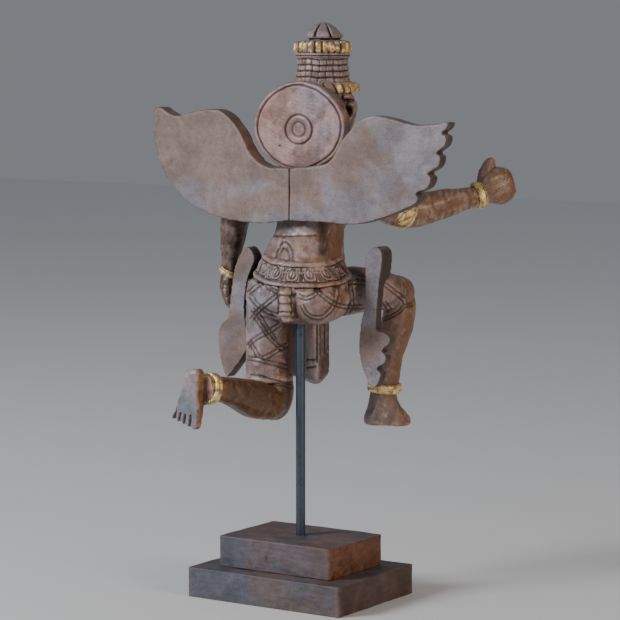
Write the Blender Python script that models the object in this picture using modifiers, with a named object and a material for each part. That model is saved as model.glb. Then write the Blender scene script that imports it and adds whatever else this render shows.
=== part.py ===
"""Carved wooden statue of Garuda in a running pose, held on a steel rod above a stepped base.

Metres, +Z up. The origin is the centre of the base's underside, +X is the figure's own left
and the figure faces -Y, so its wings are on the +Y side. The figure is laid out in parts of
its own height, as a carver does: PARTS of them from its lowest toe to the top of its crown.
"""
import math

import bmesh
import bpy
from mathutils import Matrix, Vector

# Driving dimensions, in metres
BASE_LOWER_SIZE = (0.192, 0.146, 0.032)
BASE_UPPER_SIZE = (0.141, 0.102, 0.033)
BASE_CHAMFER = 0.0015
ROD_DIAMETER = 0.010
ROD_SHOWN = 0.229
ROD_IN_BASE = 0.022
ROD_IN_FIGURE = 0.050
GAP = 0.0003
FIGURE_HEIGHT = 0.440
WING_THICKNESS = 0.0165
WING_SEAM_GAP = 0.0003
LEFT_SASH_THICKNESS = 0.0140
RIGHT_SASH_THICKNESS = 0.0150
BOARD_ROUNDING = 0.0012

# The figure's own proportions, in parts of its height
PARTS = 440.0
ROD_ENTRY = 124.0
WING_BACK = 22.0
WING_SWEEP = math.radians(5.1)
LEFT_SASH_BACK = 15.0
RIGHT_SASH_BACK = -30.0

# Values that follow from the ones above
PART = FIGURE_HEIGHT / PARTS
BASE_TOP = BASE_LOWER_SIZE[2] + GAP + BASE_UPPER_SIZE[2]
FIGURE_FLOOR = BASE_TOP + ROD_SHOWN - ROD_ENTRY * PART


def clear_scene():
    """Remove everything that is in the scene."""
    for old in list(bpy.data.objects):
        bpy.data.objects.remove(old, do_unlink=True)


def new_collection(name):
    """Make a collection and link it to the scene."""
    made = bpy.data.collections.new(name)
    bpy.context.scene.collection.children.link(made)
    return made


def wood(name, colour, roughness=0.6, metallic=0.0):
    """Make a Principled material."""
    made = bpy.data.materials.new(name)
    made.use_nodes = True
    shader = made.node_tree.nodes["Principled BSDF"]
    shader.inputs["Base Color"].default_value = (*colour, 1.0)
    shader.inputs["Roughness"].default_value = roughness
    shader.inputs["Metallic"].default_value = metallic
    return made


def place(x, y, z):
    """Turn a point in parts of the figure into metres."""
    return Vector((x * PART, y * PART, FIGURE_FLOOR + z * PART))


def from_bmesh(name, built, group):
    """Put a bmesh into a new object, with its faces turned outwards."""
    bmesh.ops.recalc_face_normals(built, faces=built.faces[:])
    mesh = bpy.data.meshes.new(name)
    built.to_mesh(mesh)
    built.free()
    made = bpy.data.objects.new(name, mesh)
    group.objects.link(made)
    return made


def hide(obj):
    """Mark an object as a helper that only shapes other pieces."""
    obj.hide_render = True
    obj.display_type = "WIRE"
    return obj


def frozen(source, group):
    """Replace an object by the mesh it evaluates to, with loose caps welded."""
    view = bpy.context.evaluated_depsgraph_get()
    view.update()
    mesh = bpy.data.meshes.new_from_object(source.evaluated_get(view))
    made = bpy.data.objects.new(source.name + "_solid", mesh)
    made.matrix_world = source.matrix_world
    group.objects.link(made)
    name = source.name
    bpy.data.objects.remove(source, do_unlink=True)
    made.name = name
    welded = bmesh.new()
    welded.from_mesh(mesh)
    bmesh.ops.remove_doubles(welded, verts=welded.verts[:], dist=0.00001)
    bmesh.ops.recalc_face_normals(welded, faces=welded.faces[:])
    welded.to_mesh(mesh)
    welded.free()
    return made


def section(centre, wide, deep, width_axis, depth_axis, sides, square):
    """Points of one rounded section: an ellipse that squareness swells towards a box."""
    points = []
    for k in range(sides):
        turn = 2.0 * math.pi * (k + 0.5) / sides
        c = math.cos(turn)
        s = math.sin(turn)
        u = math.copysign(abs(c) ** (2.0 / square), c) * wide
        v = math.copysign(abs(s) ** (2.0 / square), s) * deep
        points.append(centre + width_axis * u + depth_axis * v)
    return points


def loft(name, group, stations, side=(1, 0, 0), sides=12, square=2.3, grow=0.0, level=False):
    """Carry rounded sections through stations (x, y, z, half width, half depth), in parts.

    Each section stands square to the path, with its width along side, and level keeps all
    sections horizontal. grow widens every section by that many metres.
    """
    centres = [place(*s[:3]) for s in stations]
    side = Vector(side).normalized()
    built = bmesh.new()
    rings = []
    last = len(stations) - 1
    for i, (centre, station) in enumerate(zip(centres, stations)):
        along = (centres[min(i + 1, last)] - centres[max(i - 1, 0)]).normalized()
        if level:
            along = Vector((0, 0, 1))
        width_axis = (side - along * side.dot(along)).normalized()
        depth_axis = along.cross(width_axis)
        wide = station[3] * PART + grow
        deep = station[4] * PART + grow
        points = section(centre, wide, deep, width_axis, depth_axis, sides, square)
        rings.append([built.verts.new(p) for p in points])
    for lower, upper in zip(rings, rings[1:]):
        for k in range(sides):
            n = (k + 1) % sides
            built.faces.new((lower[k], lower[n], upper[n], upper[k]))
    built.faces.new(rings[0][::-1])
    built.faces.new(rings[-1])
    return from_bmesh(name, built, group)


def ball(name, group, centre, radii, segments=12, rings=7, grow=0.0):
    """Make an ellipsoid, with its centre and radii in parts."""
    built = bmesh.new()
    bmesh.ops.create_uvsphere(built, u_segments=segments, v_segments=rings, radius=1.0)
    size = [r * PART + grow for r in radii]
    bmesh.ops.transform(built, matrix=Matrix.Diagonal((*size, 1.0)), verts=built.verts[:])
    bmesh.ops.translate(built, vec=place(*centre), verts=built.verts[:])
    return from_bmesh(name, built, group)


def block(name, group, size, matrix):
    """Make a box of a size in metres and place it by a matrix."""
    built = bmesh.new()
    bmesh.ops.create_cube(built, size=1.0)
    bmesh.ops.transform(built, matrix=Matrix.Diagonal((*size, 1.0)), verts=built.verts[:])
    bmesh.ops.transform(built, matrix=matrix, verts=built.verts[:])
    return from_bmesh(name, built, group)


def band(name, group, centre, along, wide, deep, thick, side=(1, 0, 0), count=12):
    """Make a ring of wire round a limb: an oval of half width and depth, in parts."""
    along = Vector(along).normalized()
    side = Vector(side)
    width_axis = (side - along * side.dot(along)).normalized()
    depth_axis = along.cross(width_axis)
    curve = bpy.data.curves.new(name, "CURVE")
    curve.dimensions = "3D"
    curve.bevel_depth = thick * PART
    curve.bevel_resolution = 0
    curve.use_fill_caps = False
    spline = curve.splines.new("POLY")
    spline.points.add(count - 1)
    middle = place(*centre)
    points = section(middle, wide * PART, deep * PART, width_axis, depth_axis, count, 2.2)
    for held, point in zip(spline.points, points):
        held.co = (*point, 1.0)
    spline.use_cyclic_u = True
    made = bpy.data.objects.new(name, curve)
    group.objects.link(made)
    return frozen(made, group)


def turned(name, group, profile, centre, axis="Z", steps=24, wide=1.0):
    """Turn a closed profile of (radius, height) in parts round an axis, and place it."""
    mesh = bpy.data.meshes.new(name)
    points = [(r * PART, 0.0, h * PART) for r, h in profile]
    mesh.from_pydata(points, [(i, i + 1) for i in range(len(points) - 1)], [])
    made = bpy.data.objects.new(name, mesh)
    group.objects.link(made)
    spin = made.modifiers.new("turn", "SCREW")
    spin.axis = "Z"
    spin.steps = steps
    spin.render_steps = steps
    spin.use_merge_vertices = True
    spin.merge_threshold = 0.00001
    tilt = Matrix.Rotation(math.radians(-90.0), 4, "X") if axis == "Y" else Matrix()
    stretch = Matrix.Diagonal((wide, 1.0, 1.0, 1.0))
    solid = frozen(made, group)
    solid.data.transform(Matrix.Translation(place(*centre)) @ tilt @ stretch)
    return solid


def board(name, group, outline, thickness, matrix):
    """Cut a board to an outline of (x, z, kind) in parts; kind "s" is smooth, "c" a corner."""
    curve = bpy.data.curves.new(name, "CURVE")
    curve.dimensions = "2D"
    curve.fill_mode = "BOTH"
    curve.extrude = thickness / 2.0
    curve.resolution_u = 2
    spline = curve.splines.new("BEZIER")
    spline.bezier_points.add(len(outline) - 1)
    for held, (x, z, kind) in zip(spline.bezier_points, outline):
        held.co = (x * PART, z * PART, 0.0)
        handle = "AUTO" if kind == "s" else "VECTOR"
        held.handle_left_type = handle
        held.handle_right_type = handle
    spline.use_cyclic_u = True
    made = bpy.data.objects.new(name, curve)
    group.objects.link(made)
    solid = frozen(made, group)
    solid.data.transform(matrix)
    fix = bmesh.new()
    fix.from_mesh(solid.data)
    bmesh.ops.recalc_face_normals(fix, faces=fix.faces[:])
    fix.to_mesh(solid.data)
    fix.free()
    return solid


def upright(x, y):
    """Matrix that stands a flat outline up in the figure, its faces square to Y."""
    return Matrix.Translation((x, y, FIGURE_FLOOR)) @ Matrix.Rotation(math.pi / 2.0, 4, "X")


def boolean(target, operation, operand):
    """Join or cut a piece with an object or with every object of a collection."""
    step = target.modifiers.new(operation.lower(), "BOOLEAN")
    step.operation = operation
    step.solver = "EXACT"
    if isinstance(operand, bpy.types.Collection):
        step.operand_type = "COLLECTION"
        step.collection = operand
    else:
        step.object = operand


def rounded(target, width, segments=1):
    """Break the sharp edges of a piece."""
    step = target.modifiers.new("edges", "BEVEL")
    step.width = width
    step.segments = segments
    step.limit_method = "ANGLE"
    step.angle_limit = math.radians(50.0)


# Stations of the body: x, y, z, half width, half depth, in parts
TORSO = [
    (1.0, -6.0, 180.0, 43.0, 38.0),
    (1.6, -9.0, 193.0, 41.0, 36.5),
    (1.0, -14.0, 208.0, 37.5, 32.0),
    (0.3, -20.0, 223.0, 36.5, 27.0),
    (0.0, -26.0, 242.0, 42.0, 29.0),
    (0.0, -29.0, 260.0, 49.0, 32.0),
    (0.0, -31.0, 274.0, 46.0, 29.0),
    (0.0, -33.0, 285.0, 30.0, 22.0),
]
NECK = [
    (0.0, -33.0, 276.0, 21.0, 20.0),
    (0.0, -38.0, 296.0, 17.5, 18.0),
    (0.5, -42.0, 320.0, 17.5, 18.0),
]
HEAD = [
    (1.0, -49.0, 309.0, 15.0, 18.0),
    (1.0, -48.0, 316.0, 22.0, 25.0),
    (1.0, -46.0, 330.0, 27.0, 29.5),
    (1.0, -44.5, 348.0, 29.0, 31.0),
    (1.0, -44.0, 364.0, 29.5, 31.0),
    (1.0, -44.0, 378.0, 29.5, 30.0),
]
HIPS = [
    (1.0, -4.0, 181.0, 43.0, 40.0),
    (2.0, -3.0, 174.0, 48.0, 44.0),
    (4.0, -2.0, 160.0, 57.0, 42.0),
    (4.0, -2.0, 144.0, 57.0, 38.0),
    (2.0, -3.0, 131.0, 46.0, 31.0),
    (0.0, -4.0, ROD_ENTRY, 30.0, 22.0),
]
LEFT_THIGH = [
    (30.0, 0.0, 160.0, 31.0, 31.0),
    (37.0, 0.0, 135.0, 26.0, 28.0),
    (40.5, 0.0, 105.0, 23.5, 25.0),
    (41.0, 0.0, 80.0, 23.5, 24.0),
    (40.0, 0.0, 58.0, 24.0, 24.0),
]
LEFT_KNEE = [
    (39.0, -1.0, 64.0, 22.0, 21.0),
    (37.0, -2.0, 45.0, 21.5, 21.5),
    (35.0, -1.0, 30.0, 19.0, 19.0),
    (34.0, 1.0, 20.0, 13.0, 14.0),
    (34.0, 2.0, 17.0, 6.0, 7.0),
]
LEFT_CALF = [
    (35.0, -8.0, 40.0, 17.0, 18.0),
    (36.0, 10.0, 38.0, 19.0, 20.0),
    (39.0, 34.0, 43.0, 18.0, 20.0),
    (43.0, 60.0, 52.0, 15.0, 16.0),
    (48.0, 86.0, 59.0, 12.5, 13.0),
    (52.0, 102.0, 61.0, 11.5, 12.5),
]
LEFT_FOOT = [
    (62.0, 107.0, 80.5, 6.5, 5.5),
    (61.0, 107.5, 74.0, 9.5, 7.5),
    (63.0, 108.0, 56.0, 11.5, 7.5),
    (66.5, 108.5, 38.0, 14.5, 7.0),
    (69.5, 109.5, 26.0, 16.5, 5.5),
]
RIGHT_THIGH = [
    (-12.0, -2.0, 157.0, 31.0, 30.0),
    (-21.0, -30.0, 156.0, 28.5, 28.5),
    (-31.0, -62.0, 155.0, 24.0, 25.0),
    (-41.0, -92.0, 152.0, 20.0, 21.5),
    (-48.0, -114.0, 148.0, 18.0, 19.0),
]
RIGHT_KNEE = [
    (-44.0, -100.0, 151.0, 17.5, 19.0),
    (-49.5, -118.0, 147.0, 17.0, 19.0),
    (-53.0, -129.0, 144.0, 12.5, 14.0),
    (-54.5, -133.0, 143.0, 6.0, 7.0),
]
RIGHT_SHIN = [
    (-49.0, -117.0, 148.0, 15.5, 17.5),
    (-50.0, -119.0, 130.0, 16.0, 17.5),
    (-47.0, -117.0, 108.0, 16.0, 17.5),
    (-41.0, -113.5, 80.0, 13.5, 14.5),
    (-37.0, -112.0, 56.0, 13.0, 13.5),
    (-34.0, -111.5, 38.0, 12.0, 13.0),
    (-30.5, -112.0, 22.0, 12.5, 14.0),
]
RIGHT_FOOT = [
    (-22.5, -98.5, 13.0, 6.5, 7.0),
    (-24.0, -102.5, 14.5, 11.5, 12.5),
    (-28.0, -112.0, 16.5, 13.5, 15.0),
    (-33.5, -125.0, 12.5, 15.0, 11.0),
    (-38.5, -137.0, 8.5, 16.5, 7.0),
]
RIGHT_ARM = [
    (-40.0, -27.0, 268.0, 18.0, 19.0),
    (-48.0, -36.0, 266.0, 19.5, 20.0),
    (-56.0, -66.0, 251.0, 18.0, 18.5),
    (-62.0, -92.0, 239.0, 16.5, 17.0),
    (-67.0, -108.0, 236.5, 16.5, 17.0),
    (-76.0, -124.0, 240.0, 16.5, 17.5),
    (-92.0, -150.0, 246.0, 14.0, 15.0),
    (-107.0, -176.0, 251.0, 10.5, 11.0),
    (-114.0, -189.0, 254.0, 9.5, 11.0),
]
RIGHT_PALM = [
    (-112.0, -186.0, 252.0, 8.0, 9.0),
    (-117.0, -194.0, 258.0, 12.0, 17.0),
    (-123.0, -203.0, 262.5, 13.0, 20.5),
    (-128.5, -210.5, 265.5, 12.5, 18.5),
    (-132.0, -216.0, 267.5, 9.5, 13.0),
]
RIGHT_THUMB = [
    (-113.0, -194.0, 264.0, 8.0, 8.5),
    (-114.5, -197.0, 279.0, 7.0, 8.0),
    (-117.0, -200.0, 288.5, 5.0, 5.5),
    (-118.5, -201.5, 293.0, 2.5, 2.5),
]
LEFT_UPPER_ARM = [
    (38.0, -27.0, 268.0, 18.0, 18.0),
    (50.0, -28.0, 267.0, 19.5, 19.5),
    (74.0, -29.0, 257.0, 17.5, 17.5),
    (96.0, -29.0, 248.0, 15.0, 15.0),
    (106.0, -29.0, 244.0, 11.0, 11.0),
]
LEFT_FOREARM = [
    (102.0, -29.0, 252.0, 12.5, 13.0),
    (101.5, -28.0, 240.0, 15.0, 15.5),
    (103.0, -25.0, 222.0, 14.5, 15.5),
    (104.5, -22.0, 196.0, 11.5, 12.0),
    (105.0, -20.0, 172.0, 9.0, 9.5),
    (104.5, -18.5, 162.0, 8.5, 9.0),
]
LEFT_HAND = [
    (107.0, -19.0, 167.0, 8.0, 8.0),
    (104.0, -17.0, 156.0, 9.0, 12.0),
    (100.0, -13.0, 146.0, 7.5, 13.0),
    (95.0, -9.0, 137.0, 6.0, 10.0),
    (92.0, -7.0, 133.0, 3.0, 5.0),
]
FRONT_PANEL = [
    (12.0, -42.0, 184.0, 18.0, 9.0),
    (14.0, -46.0, 160.0, 22.0, 9.0),
    (15.0, -47.0, 120.0, 25.0, 9.5),
    (15.0, -47.0, 84.0, 25.5, 9.0),
    (15.0, -47.0, 62.0, 26.0, 8.0),
]
TAIL = [
    (-7.0, 36.0, 174.0, 7.5, 9.0),
    (-8.0, 39.0, 160.0, 7.0, 8.0),
    (-8.5, 38.0, 144.0, 6.5, 8.0),
    (-9.0, 34.0, 130.0, 6.0, 8.0),
]

# Rounded forms: centre and radii, and the hem's centre, direction, half sizes and thickness
LEFT_BUTTOCK = ((27.0, 16.0, 153.0), (28.0, 24.0, 27.0))
RIGHT_BUTTOCK = ((-27.0, 14.0, 153.0), (30.0, 26.0, 28.0))
LEFT_HEM = ((40.5, 0.0, 61.0), (0.05, 0.0, 1.0), 24.5, 24.5, 2.0)

# Half the width of a carved line, in parts
GROOVE = 1.5

# The share of triangles that stays when the slivers left by the joins are merged
KEPT_TRIANGLES = 0.7

# The belt: middle, tilt and two borders, in parts
BELT_CENTRE = (1.0, -5.0, 184.5)
BELT_TILT = math.radians(9.5)
BELT_AXIS = (
    math.sin(BELT_TILT) * math.sin(math.radians(33.6)) * -1.0,
    math.sin(BELT_TILT) * math.cos(math.radians(33.6)),
    math.cos(BELT_TILT),
)
BELT_BORDERS = [(8.5, 42.5, 39.5), (-8.5, 50.5, 47.5)]
BELT_LEAVES = 16
BELT_ROOM = [(1.0, -5.0, 164.0, 55.0, 52.0), (1.0, -5.0, 205.0, 55.0, 52.0)]

# The crown: radius and height of its turned profile, from its underside, in parts
CROWN_FOOT = (1.0, -44.0, 374.0)
CROWN_TIERS = 4
CROWN_TIER_HEIGHT = 6.4
CROWN_DRUM = (29.5, 27.0)
CROWN_RING = (31.0, 33.0, 46.6)
CROWN_BLOCKS = 16
CROWN_BUD = [(24.0, 46.6), (18.6, 48.0), (19.5, 53.0), (16.5, 59.0), (9.0, 64.0), (0.0, 66.0)]

# Bands: centre, the way through the ring, half width, half depth and thickness
DIADEM = ((1.0, -44.0, 371.0), (0, 0, 1), 35.0, 37.0, 4.0)
COLLAR = ((0.0, -35.0, 283.5), (0, -0.35, 1), 27.0, 22.0, 3.4)
NECKLACE = ((0.0, -38.0, 270.0), (0, -0.85, 1), 33.0, 30.0, 2.6)
RIGHT_HEM = ((-46.5, -113.0, 143.0), (-0.3, -0.75, 0.6), 18.0, 19.5, 2.0)
LEFT_ANKLET = ((49.5, 95.0, 60.0), (0.2, 0.95, 0.2), 13.2, 14.2, 3.4)
RIGHT_ANKLET = ((-35.0, -111.5, 45.0), (-0.1, 0, 1), 15.0, 15.5, 4.0)
RIGHT_BRACELET = ((-111.0, -182.5, 252.5), (-0.5, -0.82, 0.28), 10.5, 12.0, 3.4)
LEFT_BRACELET = ((105.0, -20.0, 171.0), (-0.45, 0, 0.9), 10.5, 11.0, 3.0)
RIGHT_ARMBAND = ((-60.0, -86.0, 242.5), (-0.22, -0.88, -0.4), 17.5, 18.0, 3.0)
LEFT_ARMBAND = ((74.0, -29.0, 259.0), (0.93, 0, -0.36), 18.0, 18.0, 3.0)

# The face: rows of the beak, and one side's ear, brow and eye
BEAK = [
    (1.0, -70.0, 345.0, 7.0, 9.0), (1.0, -80.0, 341.0, 6.0, 7.5),
    (1.0, -88.0, 334.0, 4.5, 5.5), (1.0, -91.0, 326.0, 2.5, 2.5),
]
EAR = [
    (28.0, -45.0, 322.0, 4.0, 5.0), (32.5, -50.0, 336.0, 5.0, 6.5),
    (34.5, -53.0, 350.0, 5.0, 6.5), (31.0, -52.0, 363.0, 3.5, 4.5),
]
BROW = [(4.0, -73.5, 352.0, 2.5, 2.5), (12.0, -71.5, 355.5, 2.8, 2.8), (21.0, -65.0, 352.0, 2.2, 2.2)]
EYE = ((11.5, -70.0, 346.0), (5.5, 3.5, 3.2))
FACE_MIDDLE = 1.0
DISC_ROOT = [(1.0, -30.0, 334.0, 24.0, 26.0), (1.0, -14.0, 332.0, 28.0, 30.0)]

# Toes: the first toe's root and tip, and how far the fifth one's differ
TOES = 5
LEFT_TOE = ((57.5, 109.0, 29.0), (57.0, 111.0, 19.5))
LEFT_TOE_STEP = ((21.5, 0.0, 6.0), (26.5, 0.0, 9.5))
RIGHT_TOE = ((-29.0, -137.0, 7.5), (-31.0, -147.0, 6.0))
RIGHT_TOE_STEP = ((-17.0, 8.0, 0.0), (-19.5, 12.0, 0.0))
TOE_HALF_WIDTH = (4.6, 3.2)

# Folds of the front panel and steps of the tail piece
PANEL_FOLDS = 4
PANEL_FOLD_STEP = (7.0, 8.0)
TAIL_STEPS = 4
TAIL_STEP_HEIGHT = 10.0

# The disc behind the head, in parts
DISC_CENTRE = (1.0, -12.0, 330.6)
DISC_RADIUS = 47.5
DISC_STRETCH = 57.0 / 47.5
DISC_THICKNESS = 14.5
DISC_PROFILE = [
    (0.0, 0.6), (7.0, 0.6), (8.2, -0.9), (14.5, 0.2), (16.2, -1.2), (17.5, 0.0),
    (42.5, 0.0), (44.0, -1.5), (46.5, -0.5), (47.5, -3.0), (47.5, -14.5), (0.0, -14.5),
]

# The carved feathers of one wing's front
WING_FEATHERS = 5
WING_COVERTS = 4

LEFT_WING = [
    (0.0, 288.0, "c"), (30.0, 288.5, "s"), (52.0, 301.0, "s"), (72.0, 330.0, "s"),
    (98.0, 347.0, "s"), (130.0, 345.0, "s"), (159.0, 340.0, "s"), (182.0, 349.0, "s"),
    (190.0, 346.0, "c"), (188.5, 334.0, "c"), (192.0, 328.0, "s"), (187.0, 303.0, "c"),
    (180.0, 288.0, "c"), (174.0, 277.0, "s"), (161.0, 262.0, "s"), (136.0, 244.0, "s"),
    (93.0, 232.0, "s"), (50.0, 228.0, "s"), (22.0, 230.0, "s"), (0.0, 233.5, "c"),
]
RIGHT_WING = [
    (0.0, 288.0, "c"), (37.0, 292.0, "s"), (50.0, 299.0, "s"), (64.0, 320.0, "s"),
    (81.0, 338.0, "s"), (98.0, 344.0, "s"), (117.0, 342.0, "s"), (145.0, 336.0, "s"),
    (172.0, 337.0, "s"), (184.0, 339.0, "c"), (175.0, 327.0, "c"), (181.0, 325.0, "c"),
    (171.0, 307.0, "c"), (174.0, 305.0, "c"), (161.0, 286.0, "c"), (164.0, 283.0, "c"),
    (148.0, 265.0, "c"), (151.0, 263.0, "c"), (137.0, 250.0, "s"), (111.0, 240.0, "s"),
    (81.0, 232.0, "s"), (40.0, 232.5, "s"), (0.0, 233.0, "c"),
]
LEFT_SASH = [
    (54.0, 200.0, "s"), (60.0, 202.0, "s"), (68.0, 194.0, "s"), (75.0, 178.0, "s"),
    (79.0, 158.0, "s"), (81.5, 138.0, "s"), (84.5, 124.0, "c"), (92.5, 118.0, "s"),
    (96.5, 106.0, "s"), (95.5, 88.0, "s"), (91.0, 70.0, "s"), (86.0, 60.0, "c"),
    (77.0, 69.0, "s"), (64.0, 85.0, "s"), (58.0, 98.0, "s"), (60.0, 114.0, "s"),
    (62.5, 140.0, "s"), (58.0, 168.0, "s"), (49.0, 189.0, "s"),
]
RIGHT_SASH = [
    (-69.0, 203.0, "s"), (-78.0, 204.5, "s"), (-83.0, 195.0, "s"), (-79.0, 165.0, "s"),
    (-75.0, 122.0, "s"), (-80.0, 116.5, "s"), (-89.0, 113.5, "s"), (-93.0, 106.0, "s"),
    (-86.0, 93.5, "c"), (-87.5, 90.0, "s"), (-85.0, 83.0, "s"), (-79.5, 74.5, "c"),
    (-80.5, 69.0, "s"), (-77.5, 60.0, "s"), (-72.0, 55.5, "s"), (-65.0, 62.0, "s"),
    (-57.0, 82.0, "s"), (-54.0, 102.0, "s"), (-56.5, 124.0, "s"), (-61.5, 142.0, "s"),
    (-62.0, 170.0, "s"), (-62.0, 192.0, "s"),
]


def make_base(group, helpers, finish):
    """Make the two stacked blocks, the upper one bored for the rod."""
    lower_centre = Matrix.Translation((0.0, 0.0, BASE_LOWER_SIZE[2] / 2.0))
    lower = block("base_lower", group, BASE_LOWER_SIZE, lower_centre)
    rounded(lower, BASE_CHAMFER)
    upper_centre = Matrix.Translation((0.0, 0.0, BASE_TOP - BASE_UPPER_SIZE[2] / 2.0))
    upper = block("base_upper", group, BASE_UPPER_SIZE, upper_centre)
    rounded(upper, BASE_CHAMFER)
    hole_bottom = BASE_TOP - ROD_IN_BASE - GAP
    hole_top = BASE_TOP + BASE_UPPER_SIZE[2]
    hole = bored(helpers, "base_hole", hole_bottom, hole_top)
    boolean(upper, "DIFFERENCE", hole)
    for piece in (lower, upper):
        piece.data.materials.append(finish)


def bored(helpers, name, bottom, top):
    """Make the cutter of a hole for the rod, from one height to another."""
    built = bmesh.new()
    radius = ROD_DIAMETER / 2.0 + GAP
    bmesh.ops.create_cone(
        built, cap_ends=True, segments=16, radius1=radius, radius2=radius, depth=top - bottom
    )
    bmesh.ops.translate(built, vec=(0.0, 0.0, (top + bottom) / 2.0), verts=built.verts[:])
    return hide(from_bmesh(name, built, helpers))


def make_rod(group, finish):
    """Make the steel rod, its ends inside the base and the figure."""
    bottom = BASE_TOP - ROD_IN_BASE
    top = BASE_TOP + ROD_SHOWN + ROD_IN_FIGURE
    built = bmesh.new()
    radius = ROD_DIAMETER / 2.0
    bmesh.ops.create_cone(
        built, cap_ends=True, segments=16, radius1=radius, radius2=radius, depth=top - bottom
    )
    bmesh.ops.translate(built, vec=(0.0, 0.0, (top + bottom) / 2.0), verts=built.verts[:])
    rod = from_bmesh("rod", built, group)
    rod.data.materials.append(finish)


def sided(stations, sign):
    """Lay stations on one side of the face's middle."""
    return [(FACE_MIDDLE + sign * x, *rest) for x, *rest in stations]


def make_head(forms):
    """Make the neck, the head with its beak and ears, and the disc behind it."""
    loft("neck", forms, NECK, level=True)
    loft("head", forms, HEAD, level=True, sides=14)
    loft("beak", forms, BEAK, sides=8)
    for sign in (-1.0, 1.0):
        loft("ear", forms, sided(EAR, sign), sides=8)
        loft("brow", forms, sided(BROW, sign), side=(0, 0, 1), sides=6)
        spot, radii = EYE
        ball("eye", forms, (FACE_MIDDLE + sign * spot[0], *spot[1:]), radii, 8, 6)
    loft("disc_root", forms, DISC_ROOT, side=(1, 0, 0))
    face = [(r, h + DISC_THICKNESS) for r, h in DISC_PROFILE]
    turned("disc", forms, face, DISC_CENTRE, axis="Y", steps=24, wide=DISC_STRETCH)


def make_crown(forms):
    """Make the tiered crown: a ribbed drum, a ring of blocks and a bud."""
    profile = [(0.0, CROWN_BUD[-1][1])]
    profile += [(r, h) for r, h in reversed(CROWN_BUD[:-1])]
    profile += [(CROWN_RING[0] - 3.0, CROWN_RING[2]), (CROWN_RING[0] - 3.0, CROWN_RING[1])]
    top = CROWN_TIERS * CROWN_TIER_HEIGHT
    profile.append((CROWN_RING[0] - 0.5, CROWN_RING[1] - 1.5))
    profile.append((CROWN_RING[0] - 1.0, CROWN_RING[1] - 4.0))
    for tier in range(CROWN_TIERS):
        share = 1.0 - tier / CROWN_TIERS
        radius = CROWN_DRUM[0] + (CROWN_DRUM[1] - CROWN_DRUM[0]) * share
        high = 2.0 + top - tier * CROWN_TIER_HEIGHT
        profile.append((radius - 2.2, high + 0.3))
        profile.append((radius + 0.3, high - CROWN_TIER_HEIGHT / 2.0))
    profile += [(CROWN_DRUM[0] - 2.0, 2.0), (CROWN_DRUM[0] - 1.0, 0.0), (0.0, 0.0)]
    turned("crown", forms, profile, CROWN_FOOT, steps=18)
    tall = (CROWN_RING[2] - CROWN_RING[1]) * PART
    size = (7.5 * PART, 8.5 * PART, tall * 0.96)
    middle = (CROWN_RING[1] + CROWN_RING[2]) / 2.0
    for k in range(CROWN_BLOCKS):
        turn = Matrix.Rotation(2.0 * math.pi * k / CROWN_BLOCKS, 4, "Z")
        spot = Matrix.Translation(place(CROWN_FOOT[0], CROWN_FOOT[1], CROWN_FOOT[2] + middle))
        out = Matrix.Translation((0.0, (CROWN_RING[0] - 3.5) * PART, 0.0))
        block("crown_block", forms, size, spot @ turn @ out)
    band("diadem", forms, *DIADEM, count=20)


def make_belt(forms):
    """Make the belt's two borders and the ring of leaves between them."""
    axis = Vector(BELT_AXIS).normalized()
    for offset, wide, deep in BELT_BORDERS:
        centre = Vector(BELT_CENTRE) + axis * offset
        band("belt_border", forms, centre, axis, wide, deep, 2.6, count=18)
    across = Vector((1, 0, 0)) - axis * axis.x
    across.normalize()
    ahead = axis.cross(across)
    for k in range(BELT_LEAVES):
        turn = 2.0 * math.pi * (k + 0.5) / BELT_LEAVES
        middle = Vector(BELT_CENTRE) - axis * 1.0
        out = across * math.cos(turn) * 46.5 + ahead * math.sin(turn) * 43.5
        low = middle + out
        ball("belt_leaf", forms, low, (5.8, 5.8, 6.2), 5, 4)


def make_limbs(forms):
    """Make the legs, arms, hands and feet."""
    loft("hips", forms, HIPS[::-1], level=True, sides=16)
    ball("left_buttock", forms, *LEFT_BUTTOCK)
    ball("right_buttock", forms, *RIGHT_BUTTOCK)
    loft("left_thigh", forms, LEFT_THIGH[::-1])
    loft("left_knee", forms, LEFT_KNEE[::-1], sides=10)
    loft("left_calf", forms, LEFT_CALF, sides=10)
    loft("left_foot", forms, LEFT_FOOT[::-1], sides=10)
    loft("right_thigh", forms, RIGHT_THIGH)
    loft("right_knee", forms, RIGHT_KNEE, sides=10)
    loft("right_shin", forms, RIGHT_SHIN[::-1], sides=10)
    loft("right_foot", forms, RIGHT_FOOT, sides=10)
    loft("right_arm", forms, RIGHT_ARM, side=(1, -0.4, 0), sides=10)
    loft("right_palm", forms, RIGHT_PALM, side=(0.85, -0.53, 0), sides=10, square=2.8)
    loft("right_thumb", forms, RIGHT_THUMB, sides=8)
    loft("left_upper_arm", forms, LEFT_UPPER_ARM, side=(0, 0, 1), sides=10)
    loft("left_forearm", forms, LEFT_FOREARM[::-1], sides=10)
    loft("left_hand", forms, LEFT_HAND[::-1], sides=10)


def toe_row(name, forms, first, step, deep, tuck):
    """Make the toes of one foot, from the first toe's root and tip to the fifth one's."""
    for k in range(TOES):
        share = k / (TOES - 1.0)
        wide = TOE_HALF_WIDTH[0] + (TOE_HALF_WIDTH[1] - TOE_HALF_WIDTH[0]) * share
        root, tip = (Vector(at) + Vector(by) * share for at, by in zip(first, step))
        end = tip + Vector(tuck)
        toe = [(*root, wide, deep), (*tip, wide * 0.9, deep * 0.85), (*end, 2.0, 2.0)]
        loft(name, forms, toe, sides=6)


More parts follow.
